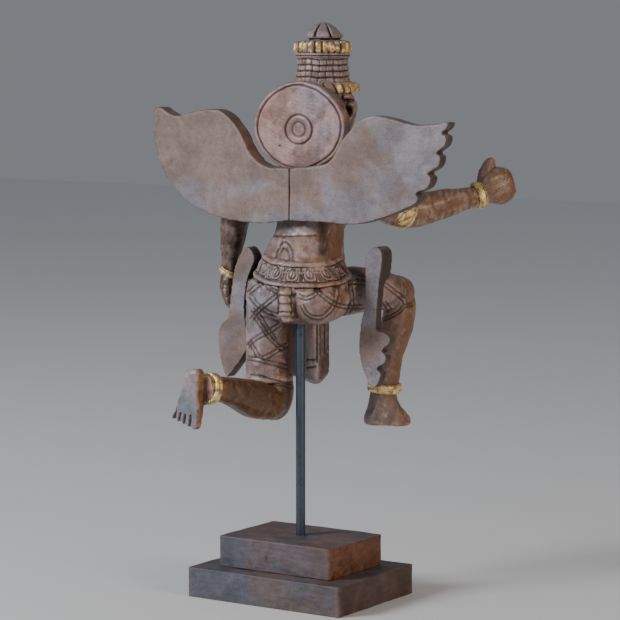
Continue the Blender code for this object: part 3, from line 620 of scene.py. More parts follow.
@dataclass(frozen=True)
class WoodFinish:
    """A stained wood that is partly worn and highlit, partly under dust and painted sheen.

    Attributes:
        name: the material's name.
        body: the stain.
        dust_sheen_warm: dust and painted sheen where they are warm.
        dust_sheen_cool: dust and painted sheen where they are bluish.
        warm: bare orange-brown patches.
        deep: the painted shade at the bottom of cuts and hollows.
        worn: worn edges, lightened also as a painted highlight.
        dust: the noise values between which patches of dust and painted sheen begin.
        bare: the noise values between which warm patches begin.
        facing_dust_sheen: how far a face looks back where dust and painted sheen begin and are full,
            and how much lies.
        grain: swells of grain in a metre, each way.
        grain_depth: how much the grain lightens and darkens.
        patch: patches in a metre.
        rough: the roughness.
        edge: how much a worn and highlit edge shows.
        bump: the height of the fine unevenness, in metres.
        spread: how much the patches of dust hide.
        mottle: how much broad patches lighten and darken.
        tilt: how much cooler the dust and painted sheen get in a metre towards -X, a painted change of
            light from side to side.
        speck: how much darker the finest pits are.
        upper: how much dust and painted sky light lie on faces that look up.
    """

    name: str
    body: Colour
    dust_sheen_warm: Colour
    dust_sheen_cool: Colour
    warm: Colour
    deep: Colour
    worn: Colour
    dust: tuple[float, float] = (0.5, 0.68)
    bare: tuple[float, float] = (0.47, 0.37)
    facing_dust_sheen: tuple[float, float, float] = (0.1, 0.9, 0.35)
    grain: Row = (260.0, 260.0, 30.0)
    grain_depth: float = 0.1
    patch: float = 24.0
    rough: float = 0.42
    edge: float = 0.6
    bump: float = 0.00012
    spread: float = 0.6
    mottle: float = 0.06
    tilt: float = 0.0
    speck: float = 0.12
    upper: float = 0.2

    def make(self) -> Material:
        """Build the material: stain under dust and painted sheen, shaded by the grain, then worn,
        highlit and given painted shade in cuts and hollows.
        """
        s = Sheet(self.name)
        streak = s.noise(1.0, 3.0, 0.55, s.stretched(self.grain))
        patch = s.noise(self.patch, 4.0, 0.58, warp=0.5)
        turned_place = s.stretched((1.0, 1.0, 1.0), (0.6, 0.3, 0.9))
        broad = s.noise(self.patch * 0.45, 3.0, 0.5, turned_place, 0.3)
        small = s.noise(self.patch * 6.0, 4.0, 0.6)
        near = s.mark("near")
        share = self._dust_sheen_share(s, patch, near)
        colour = s.blend(share, self._stain(s, broad, small, near), self._dust_sheen_colour(s, broad))
        colour = s.blend(1.0, colour, self._shade(s, streak, patch, small), "MULTIPLY")
        # Edges that stand out are paler: wear, and a painted highlight along them
        rubbed_and_highlit = s.span(s.mark("wear_and_shade"), 0.25, 1.0, 0.0, self.edge)
        colour = s.blend(s.maths("MULTIPLY", rubbed_and_highlit, s.span(small, 0.35, 0.6)), colour, self.worn)
        # Painted shade in hollows, and in cuts by the painted-shade mark
        hollow_shade = s.span(s.mark("wear_and_shade"), -0.35, -1.0, 0.0, 0.85)
        dark = s.maths("MAXIMUM", s.mark("painted_shade"), hollow_shade)
        colour = s.blend(s.maths("MULTIPLY", dark, 0.92), colour, self.deep)
        s.link(colour, s.shader.inputs["Base Color"])
        gloss = s.span(small, 0.3, 0.7, self.rough - 0.06, self.rough + 0.12)
        s.link(gloss, s.shader.inputs["Roughness"])
        s.shader.inputs["Specular IOR Level"].default_value = 0.6
        s.bump(s.maths("ADD", s.maths("MULTIPLY", streak, 0.5), small), self.bump)
        return s.material

    def _dust_sheen_share(self, s: Sheet, patch: Socket, near: Socket) -> Socket:
        """Share out dust and painted sheen: patches, faces that look back and up, less of it near
        cuts, where shade is painted.
        """
        normal = s.split(s.add("NewGeometry").outputs["Normal"])
        # Faces that look back and up get painted sheen of the light as well as dust
        behind = s.span(normal["Y"], self.facing_dust_sheen[0], self.facing_dust_sheen[1], 0.0, self.facing_dust_sheen[2])
        dust_sheen_by_facing = s.maths("ADD", behind, s.span(normal["Z"], 0.3, 0.95, 0.0, self.upper))
        share = s.maths("ADD", s.span(patch, *self.dust, 0.0, self.spread), dust_sheen_by_facing)
        share = s.maths("MULTIPLY", share, s.span(near, 0.0, 1.0, 1.0, 0.25))
        return s.maths("MINIMUM", s.maths("MAXIMUM", share, s.mark("dust")), 1.0)

    def _dust_sheen_colour(self, s: Sheet, broad: Socket) -> Socket:
        """Colour the dust and painted sheen, warm or bluish in broad patches that lean to one side,
        the lean a painted change of light.
        """
        place = s.split(s.stretched((1.0, 1.0, 1.0)))
        leaning = s.maths("SUBTRACT", broad, s.maths("MULTIPLY", place["X"], self.tilt))
        return s.blend(s.span(leaning, 0.42, 0.6), self.dust_sheen_warm, self.dust_sheen_cool)

    def _stain(self, s: Sheet, broad: Socket, small: Socket, near: Socket) -> Socket:
        """Colour the wood under the dust and sheen: stain with warm patches, and painted shade near
        cuts.
        """
        bare = s.maths("MULTIPLY", s.span(small, 0.3, 0.55), s.span(broad, *self.bare))
        stain = s.blend(s.maths("MULTIPLY", bare, 0.75), self.body, self.warm)
        # Painted shade round cuts
        return s.blend(s.maths("MULTIPLY", near, 0.6), stain, tuple(0.45 * part for part in self.body))

    def _shade(self, s: Sheet, streak: Socket, patch: Socket, small: Socket) -> Socket:
        """Give the light and dark of grain, patches and pits, about 1."""
        shade = s.span(streak, 0.32, 0.68, 1.0 - self.grain_depth * 2.0, 1.0 + self.grain_depth)
        shade = s.maths("MULTIPLY", shade, s.span(small, 0.3, 0.7, 0.88, 1.1))
        broad = s.span(patch, 0.36, 0.64, 1.0 - self.mottle, 1.0 + self.mottle)
        shade = s.maths("MULTIPLY", shade, broad)
        pits = s.span(s.noise(650.0, 3.0, 0.6), 0.5, 0.66, 1.0, 1.0 - 2.0 * self.speck)
        return s.maths("MULTIPLY", shade, pits)


@dataclass(frozen=True)
class GiltFinish:
    """Rubbed gold leaf with brown wood in its cracks and painted shade in its cuts."""

    name: str = "gilt_leaf"
    gold: Colour = (0.74, 0.45, 0.11)
    pale: Colour = (0.97, 0.79, 0.42)
    wood: Colour = (0.27, 0.185, 0.16)
    deep: Colour = (0.035, 0.016, 0.01)

    def make(self) -> Material:
        """Build the material."""
        s = Sheet(self.name)
        patch = s.noise(150.0, 4.0, 0.6)
        fine = s.noise(600.0, 4.0, 0.7)
        leaf = s.blend(s.span(patch, 0.4, 0.6), self.gold, self.pale)
        bare = s.maths("MAXIMUM", s.span(fine, 0.6, 0.7), s.span(patch, 0.46, 0.38))
        bare = s.maths("MAXIMUM", bare, s.mark("dust"))
        colour = s.blend(bare, leaf, self.wood)
        # Painted shade in cuts: darker, and not metallic there
        bare = s.maths("MAXIMUM", bare, s.mark("painted_shade"))
        colour = s.blend(s.maths("MULTIPLY", s.mark("painted_shade"), 0.9), colour, self.deep)
        s.link(colour, s.shader.inputs["Base Color"])
        s.link(s.span(bare, 0.0, 1.0, 0.75, 0.0), s.shader.inputs["Metallic"])
        s.link(s.span(patch, 0.3, 0.7, 0.3, 0.5), s.shader.inputs["Roughness"])
        s.bump(s.maths("ADD", fine, patch), 0.0005)
        return s.material


@dataclass(frozen=True)
class SteelFinish:
    """The dark blue-grey steel of the rod."""

    name: str = "rod_dark_steel"
    body: Colour = (0.085, 0.11, 0.145)
    rust: Colour = (0.05, 0.04, 0.038)

    def make(self) -> Material:
        """Build the material."""
        s = Sheet(self.name)
        streak = s.noise(1.0, 4.0, 0.6, s.stretched((900.0, 900.0, 60.0)))
        patch = s.noise(90.0, 5.0, 0.65)
        s.link(s.blend(s.span(patch, 0.52, 0.72), self.body, self.rust), s.shader.inputs["Base Color"])
        s.link(s.span(streak, 0.3, 0.7, 0.32, 0.5), s.shader.inputs["Roughness"])
        s.shader.inputs["Metallic"].default_value = 0.75
        s.bump(s.maths("ADD", streak, patch), 0.00006)
        return s.material


@dataclass(frozen=True)
class Drawing:
    """A picture plane through the figure's middle, on which carved lines are drawn.

    A place on it is (across, up) in parts: what the photograph's camera sees there.

    Attributes:
        middle: the plane's middle, in metres.
        distance: how far it lies from the camera, in metres.
    """

    middle: tuple[float, float, float] = (-0.00833, -0.00553, 0.3071)
    distance: float = 2.756

    def spots(self, points: Array) -> Array:
        """Project points, in parts, onto the plane from the camera's place."""
        rel = to_metres(points) - np.array(self.middle)
        shrink = self.distance / (self.distance - rel @ CAMERA_BACK)
        return np.stack((rel @ CAMERA_RIGHT * shrink, rel @ CAMERA_UP * shrink), axis=1) / PART

    @staticmethod
    def seen(normals: Array) -> Array:
        """Give 1 where a surface faces the camera and 0 where it turns away."""
        return ease(0.02, 0.25, normals @ unit(CAMERA_BACK))


DRAWING = Drawing()


@dataclass(frozen=True)
class Stroke:
    """A carved line drawn on the picture plane, single or as a twin pair.

    Attributes:
        path: places that the line runs through.
        twin: half the space between the two lines of a pair, or 0 for one line.
        depth: how deep it is cut, in parts.
        width: half the width of a cut, in parts.
    """

    path: tuple[tuple[float, float], ...]
    twin: float = 2.0
    depth: float = FULL_CUT
    width: float = 0.72

    def distance(self, spots: Array) -> Array:
        """Give the distance of each spot from the smooth line through the path."""
        line = flowing(self.path, 5)
        margin, far = 6.0, 1e3
        low = line.min(axis=0) - margin
        high = line.max(axis=0) + margin
        near = np.all((spots > low) & (spots < high), axis=1)
        found = np.full(len(spots), far)
        some = spots[near][:, None, :]
        a, b = line[None, :-1, :], line[None, 1:, :]
        span = b - a
        share = ((some - a) * span).sum(-1) / (span * span).sum(-1)
        gap = np.linalg.norm(some - a - span * clamp(share)[..., None], axis=-1)
        nearest = gap.argmin(axis=1)
        rows = np.arange(len(nearest))
        past = (nearest == 0) & (share[rows, 0] < 0.0)
        past |= (nearest == gap.shape[1] - 1) & (share[rows, -1] > 1.0)
        found[near] = np.where(past, far, gap[rows, nearest])
        return found

    def depths(self, spots: Array) -> Array:
        """Give the depth of the cut at each spot: a Gaussian across each line."""
        gap = self.distance(spots)
        return self.depth * np.exp(-(((gap - self.twin) / self.width) ** 2))


def carve_strokes(piece: Carving, strokes: Sequence[Stroke], keep: Array | None = None) -> None:
    """Cut strokes into the side of a piece that faces the camera, and paint shade into them.

    Args:
        piece: the piece.
        strokes: the lines to cut.
        keep: a share for each point of how much of the cut is made there.
    """
    spots = DRAWING.spots(piece.points)
    depth = np.zeros(len(piece.points))
    for stroke in strokes:
        depth = np.maximum(depth, stroke.depths(spots))
    depth *= Drawing.seen(piece.normals())
    if keep is not None:
        depth *= keep
    piece.cut(depth, clamp(depth / FULL_CUT) ** 1.3)


def mid_gap(value: Array, step: float = 1.0) -> Array:
    """Give the distance from the nearest line of a row that has one mid-way in each step."""
    return np.abs((value / step) % 1.0 - 0.5) * step


def plane_lines(points: Array, way: Row, step: float, start: float = 0.0) -> Array:
    """Give the distance of points from the nearest of a row of parallel planes."""
    high = points @ unit(np.asarray(way, dtype=float)) - start
    return mid_gap(high + 0.5 * step, step)


def line_depth(distance: Array, depth: float, width: float) -> Array:
    """Turn a distance from a line into the depth of a cut, Gaussian across the line."""
    return depth * np.exp(-((distance / width) ** 2))


def roughen(piece: Carving, size: float, depth: float, seed: int) -> None:
    """Leave the shallow unevenness of hand tools on a piece, in broad and in fine swells."""
    broad = ripple(piece.points, size, seed) * depth
    piece.cut(broad + ripple(piece.points, size * 0.35, seed + 1) * depth * 0.5)


@dataclass
class Palette:
    """The finishes of the statue, as materials."""

    carved: Material
    limbs: Material
    disc: Material
    sawn: Material
    base: Material
    block: Material
    steel: Material
    gilt: Material


# Colours of dust with painted sheen, of painted shade in cuts, and of worn and highlit edges
MAUVE_DUST_SHEEN = (0.43, 0.305, 0.295)
CUT_SHADE = (0.018, 0.01, 0.008)
RUBBED_AND_HIGHLIT = (0.46, 0.33, 0.28)
CARVED_WOOD = WoodFinish(
    "carved_wood", body=(0.14, 0.066, 0.042), dust_sheen_warm=MAUVE_DUST_SHEEN, dust_sheen_cool=(0.36, 0.32, 0.355),
    warm=(0.34, 0.145, 0.055), deep=CUT_SHADE, worn=RUBBED_AND_HIGHLIT, dust=(0.46, 0.64),
    facing_dust_sheen=(0.0, 0.9, 0.5), rough=0.36,
)
LIMB_WOOD = WoodFinish(
    "limb_wood", body=(0.2, 0.094, 0.042), dust_sheen_warm=MAUVE_DUST_SHEEN, dust_sheen_cool=(0.2, 0.205, 0.25),
    warm=(0.38, 0.175, 0.06), deep=CUT_SHADE, worn=RUBBED_AND_HIGHLIT, dust=(0.56, 0.74),
    facing_dust_sheen=(0.2, 0.95, 0.26), grain=(170.0, 170.0, 170.0), grain_depth=0.06, rough=0.36,
    tilt=-2.0, speck=0.18,
)
DISC_WOOD = WoodFinish(
    "disc_wood", body=(0.2, 0.082, 0.048), dust_sheen_warm=(0.45, 0.275, 0.25), dust_sheen_cool=(0.3, 0.235, 0.265),
    warm=(0.4, 0.16, 0.07), deep=CUT_SHADE, worn=RUBBED_AND_HIGHLIT, dust=(0.44, 0.6),
    facing_dust_sheen=(0.6, 0.95, 0.52), grain=(150.0, 150.0, 9.0), grain_depth=0.06, patch=26.0,
    mottle=0.16,
)
SAWN_WOOD = WoodFinish(
    "sawn_wood", body=(0.048, 0.027, 0.02), dust_sheen_warm=(0.24, 0.162, 0.135),
    dust_sheen_cool=(0.265, 0.236, 0.265), warm=(0.17, 0.078, 0.038), deep=CUT_SHADE, worn=(0.32, 0.215, 0.16),
    facing_dust_sheen=(0.55, 0.95, 1.0), grain=(30.0, 40.0, 130.0), grain_depth=0.045, patch=26.0,
    rough=0.5, edge=0.2, spread=0.12, mottle=0.17, tilt=0.45, speck=0.14, upper=0.5,
)
BASE_WOOD = WoodFinish(
    "base_wood", body=(0.075, 0.038, 0.026), dust_sheen_warm=(0.145, 0.105, 0.105),
    dust_sheen_cool=(0.105, 0.11, 0.145), warm=(0.21, 0.08, 0.026), deep=CUT_SHADE, worn=(0.22, 0.12, 0.07),
    bare=(0.42, 0.32), facing_dust_sheen=(0.5, 0.9, 0.0), grain=(60.0, 60.0, 260.0), rough=0.55, edge=0.3,
    spread=0.25, mottle=0.18, upper=0.0,
)
BLOCK_WOOD = replace(
    BASE_WOOD, name="base_block_wood", body=(0.085, 0.03, 0.01), warm=(0.2, 0.066, 0.016),
    bare=(0.7, 0.46),
)


def make_palette() -> Palette:
    """Make the materials."""
    return Palette(
        carved=CARVED_WOOD.make(), limbs=LIMB_WOOD.make(), disc=DISC_WOOD.make(),
        sawn=SAWN_WOOD.make(), base=BASE_WOOD.make(), block=BLOCK_WOOD.make(),
        steel=SteelFinish().make(), gilt=GiltFinish().make(),
    )


# The stations of the body: rows of x, y, z, half width and half depth, in parts
TORSO = (
    (1, -6, 180, 43, 38), (1.6, -9, 193, 41, 36.5), (1, -14, 208, 37.5, 32),
    (0.3, -20, 223, 36.5, 27), (0, -26, 242, 42, 29), (0, -29, 260, 49, 32), (0, -31, 274, 46, 29),
    (0, -33, 285, 30, 22),
)
NECK = ((0, -33, 276, 21, 20), (0, -38, 296, 17.5, 18), (0.5, -42, 320, 17.5, 18))
HEAD = (
    (1, -49, 309, 15, 18), (1, -48, 316, 22, 25), (1, -46, 330, 27, 29.5), (1, -44.5, 348, 29, 31),
    (1, -44, 364, 29.5, 31), (1, -44, 378, 29.5, 30),
)
HIPS = (
    (0, -4, 124, 30, 22), (2, -3, 131, 46, 31), (4, -2, 144, 57, 38), (4, -2, 160, 57, 42),
    (2, -3, 174, 48, 44), (1, -4, 181, 43, 40),
)
LEFT_THIGH = (
    (40, 0, 58, 24, 24), (41, 0, 80, 23.5, 24), (40.5, 0, 105, 23.5, 25), (37, 0, 135, 26, 28),
    (30, 0, 160, 31, 31),
)
LEFT_KNEE = (
    (34.5, 3, 17.5, 5, 6), (34.8, 2, 20.5, 11, 12), (35.5, 0, 30, 17.5, 18),
    (37, -2, 45, 21.5, 21.5), (39, -1, 64, 22, 21),
)
LEFT_CALF = (
    (35, -8, 40, 17, 18), (36, 10, 38, 19, 20), (39, 34, 43, 18, 20), (43, 60, 52, 15, 16),
    (48, 86, 59, 12.5, 13), (52, 102, 59, 13, 16),
)
LEFT_FOOT = (
    (69.5, 109.5, 26, 16.5, 5.5), (66.5, 108.5, 38, 14.5, 7), (63, 108, 56, 11.5, 7.5),
    (61, 107.5, 74, 9.5, 7.5), (62, 107, 80.5, 6.5, 5.5),
)
RIGHT_THIGH = (
    (-12, -2, 157, 31, 30), (-21, -30, 156, 28.5, 28.5), (-31, -62, 155, 24, 25),
    (-41, -92, 152, 20, 21.5), (-48, -114, 148, 18, 19),
)
RIGHT_KNEE = (
    (-44, -100, 151, 17.5, 19), (-49.5, -118, 147, 17, 19), (-53, -129, 144, 12.5, 14),
    (-54.5, -133, 143, 6, 7),
)
RIGHT_SHIN = (
    (-33.5, -112, 22, 12.5, 14), (-34.5, -111.5, 38, 12.5, 13), (-37.5, -112.5, 56, 13.5, 14.5),
    (-41, -113.5, 80, 13.5, 14.5), (-47, -117, 108, 16, 17.5), (-50, -119, 130, 16, 17.5),
    (-49, -117, 148, 15.5, 17.5),
)
RIGHT_FOOT = (
    (-36, -117, 0.6, 12.5, 25), (-36, -117, 2.5, 14.4, 27.3), (-36, -117, 8, 14.5, 27.5),
    (-35, -115, 16, 14, 23), (-34.2, -113, 24, 13.6, 17.8), (-33.8, -112, 31, 13.2, 14.6),
    (-34, -111.5, 40, 12.5, 13),
)
RIGHT_FOOT_SIDE = (0.925, -0.38, 0)
RIGHT_ARM = (
    (-40, -27, 268, 18, 19), (-48, -36, 266, 19.5, 20), (-56, -66, 251, 18, 18.5),
    (-62, -92, 239, 16.5, 17), (-67, -108, 236.5, 16.5, 17), (-76, -124, 240, 16.5, 17.5),
    (-92, -150, 246, 14, 15), (-107, -176, 251, 10.5, 11), (-114, -189, 254, 9.5, 11),
)
RIGHT_PALM = (
    (-112, -186, 252, 8, 9), (-117, -194, 258, 12, 17), (-123, -203, 262.5, 13, 20.5),
    (-128.5, -210.5, 265.5, 12.5, 18.5), (-132, -216, 267.5, 9.5, 13),
)
RIGHT_THUMB = (
    (-112, -193, 262, 8.5, 9.5), (-113.5, -196, 276, 8.5, 10), (-116, -199, 286.5, 6.5, 7.5),
    (-118, -201, 293, 3, 3.2),
)
LEFT_UPPER_ARM = (
    (38, -27, 268, 18, 18), (50, -28, 267, 19.5, 19.5), (74, -29, 257, 17.5, 17.5),
    (96, -29, 248, 15, 15), (106, -29, 244, 11, 11),
)
LEFT_FOREARM = (
    (104.5, -18.5, 162, 8.5, 9), (105, -20, 172, 9, 9.5), (104.5, -22, 196, 11.5, 12),
    (103, -25, 222, 14.5, 15.5), (101.5, -28, 240, 15, 15.5), (102, -29, 252, 12.5, 13),
)
LEFT_HAND = (
    (92, -7, 133, 3, 5), (95, -9, 137, 6, 10), (100, -13, 146, 7.5, 13), (104, -17, 156, 9, 12),
    (107, -19, 167, 8, 8),
)
LEFT_THUMB = (
    (103, -23, 160, 4.5, 4.5), (97, -24, 152, 4, 4), (92, -22, 145, 3, 3),
)
FRONT_PANEL = (
    (21.5, -47.5, 57.5, 14, 8), (20.5, -46.5, 61, 18.5, 12), (20, -45.5, 66.5, 20.5, 14.5),
    (20, -45.5, 84, 20.5, 14.5), (19.5, -45.5, 120, 20, 14), (16.5, -45, 160, 18.5, 12),
    (13, -42, 184, 17, 9),
)
TAIL = (
    (-9, 34, 130, 6, 8), (-8.5, 38, 144, 6.5, 8), (-8, 39, 160, 7, 8), (-7, 36, 174, 7.5, 9),
)


@dataclass
class Assembly:
    """A part of the statue that makes its own pieces.

    Attributes:
        palette: the finishes.
    """

    palette: Palette


@dataclass
class Base(Assembly):
    """The two stacked blocks and the rod.

    Attributes:
        corner: the radius of the blocks' corners, in metres.
        lip: the radius of their worn edges, as a share of that.
        fine: the spacing of points round a block, in metres.
        saw_centre: where the arcs that the saw left have their centre, in parts.
        saw_step: from arc to arc, in parts.
        worn_spots: bare spots, as across, up, half width and half height in the picture.
    """

    corner: float = 0.0015
    lip: float = 0.6
    fine: float = 0.0018
    saw_centre: Row = (235.0, 73.0, -215.0)
    saw_step: float = 4.2
    worn_spots: tuple[Row, ...] = (
        (-60.2, -247.6, 1.5, 3.2), (-46.3, -263.8, 1.5, 4.6), (-62.6, -269.4, 2.6, 1.6),
        (-64.5, -266.8, 1.3, 2.2),
    )

    def ring(self, half: Array, count: int) -> Array:
        """Give evenly spaced points round a rectangle with slightly rounded corners.

        Args:
            half: half the rectangle's two sizes, in metres.
            count: how many points there are.

        Returns:
            The points, count by 2.
        """
        r = self.corner
        turn = np.linspace(0.0, math.pi / 2.0, 6)
        run = []
        for sx, sy, start in ((1, 1, 0.0), (-1, 1, 0.5), (-1, -1, 1.0), (1, -1, 1.5)):
            angle = turn + start * math.pi
            centre = np.array((sx * max(half[0] - r, 0.0), sy * max(half[1] - r, 0.0)))
            run.append(centre + r * np.stack((np.cos(angle), np.sin(angle)), axis=1))
        line = np.vstack(run + [run[0][:1]])
        steps = np.linalg.norm(np.diff(line, axis=0), axis=1)
        along = np.concatenate(([0.0], np.cumsum(steps)))
        even = np.linspace(0.0, along[-1], count, endpoint=False)
        return np.stack([np.interp(even, along, line[:, k]) for k in range(2)], axis=1)

    def rows(self, low: float, high: float) -> list[Row]:
        """Give a block's rows from the middle of its underside to the middle of its top.

        Args:
            low: the height of the underside.
            high: the height of the top.

        Returns:
            Rows of the share of the full outline, the inset of the worn edge and the height.
        """
        soft, lip = self.corner, self.corner * self.lip
        bend = np.linspace(0.0, math.pi / 2.0, 5)
        steps = int((high - low - 2 * soft) / (self.fine * 0.8))
        shares = 0.001 + 0.999 * np.linspace(0.0, 1.0, 14)[:-1]
        rows = [(share, 0.0, low) for share in shares]
        rows += [(1.0, lip * (1 - math.sin(t)), low + lip * (1 - math.cos(t))) for t in bend]
        rows += [(1.0, 0.0, z) for z in np.linspace(low + soft, high - soft, steps)]
        rows += [(1.0, lip * (1 - math.sin(t)), high - lip * (1 - math.cos(t))) for t in bend[::-1]]
        shares = 0.001 + 0.999 * np.linspace(1.0, 0.0, 40)[1:]
        return rows + [(share, 0.0, high) for share in shares]

    def block(self, node: str, wood: Material, seed: int, arcs: float) -> None:
        """Make one worn block: rings up its sides and shrinking rings over its ends.

        Args:
            node: the solid that it stands for.
            wood: its finish.
            seed: seed of its unevenness.
            arcs: how much the saw's arcs show.
        """
        low, high = (np.array(v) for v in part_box(node))
        half = (high - low)[:2] / 2.0
        middle = (high + low)[:2] / 2.0
        count = int(4.0 * half.sum() / self.fine)
        grid = []
        for share, inset, z in self.rows(low[2], high[2]):
            size = np.maximum(half - inset, 1e-4) - self.corner * self.lip * (share < 1.0)
            flat = self.ring(size, count) * share + middle
            grid.append(np.column_stack((flat, np.full(count, z))))
        stack = np.stack(grid)
        piece = Carving(node + "_worn")
        in_parts = (stack.reshape(-1, 3) - np.array((0.0, 0.0, FIGURE_FLOOR))) / PART
        piece.take(Shell(in_parts, grid_faces(len(stack), count).tolist()))
        marks = self.saw_marks(piece, seed, arcs)
        # The saw's arcs are sunk and painted with shade
        piece.cut(marks * 0.25 + ripple(piece.points, 34.0, seed + 5) * 0.2, marks * 0.34)
        # Dust on the tops; on faces that look back the paler dust also paints the cool light there
        top = ease(0.5, 0.9, piece.normals()[:, 2])
        rear = ease(0.5, 0.9, piece.normals()[:, 1])
        piece.dust = np.maximum(top * 0.72, rear * 0.92)
        spots = DRAWING.spots(piece.points)
        for across, up, wide, tall in self.worn_spots:
            gap = ((spots[:, 0] - across) / wide) ** 2 + ((spots[:, 1] - up) / tall) ** 2
            piece.dust = piece.dust * (1.0 - np.exp(-gap ** 2))
        piece.finish(wood, node)

    def saw_marks(self, piece: Carving, seed: int, arcs: float) -> Array:
        """Give the arcs that a round saw left on a block's sides, stronger towards +X."""
        p = piece.points
        normal = piece.normals()
        side = ease(0.6, 0.9, np.abs(normal[:, 0]) + np.abs(normal[:, 1]))
        reach = np.linalg.norm(p - np.array(self.saw_centre), axis=1)
        saw = np.sin(reach * TURN / self.saw_step + ripple(p, 60.0, seed) * 1.2)
        marks = ease(0.1, 0.9, saw) * side * arcs
        marks = marks * ease(-0.9, 0.3, ripple(p, 45.0, seed + 7))
        return marks * ease(-15.0, 15.0, p[:, 0])

    def rod(self) -> None:
        """Make the steel rod."""
        low, high = (np.array(v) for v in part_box("rod"))
        radius = (high[0] - low[0]) / 2.0 / PART
        foot = (low[2] - FIGURE_FLOOR) / PART
        top = (high[2] - FIGURE_FLOOR) / PART
        wall = [(radius, z) for z in np.linspace(foot, top, 60)]
        profile = [(0.05, foot), *wall, (0.05, top)]
        piece = Carving("rod_bar")
        piece.take(turned(profile, (0.0, 0.0, 0.0), 40))
        piece.finish(self.palette.steel, "rod")

    def build(self) -> None:
        """Build the base."""
        self.block("base_lower", self.palette.base, 11, 0.9)
        self.block("base_upper", self.palette.block, 21, 0.25)
        self.rod()


# Rows of radius and height above the drum's underside
BUD_PROFILE = (
    (24.5, 45.8), (21, 47.4), (17.6, 48), (18.6, 49.8), (19.2, 52.2), (17.2, 55.4), (13.4, 59.4),
    (9.4, 62.8), (5.4, 65.2), (2.2, 66), (0.15, 66.1),
)


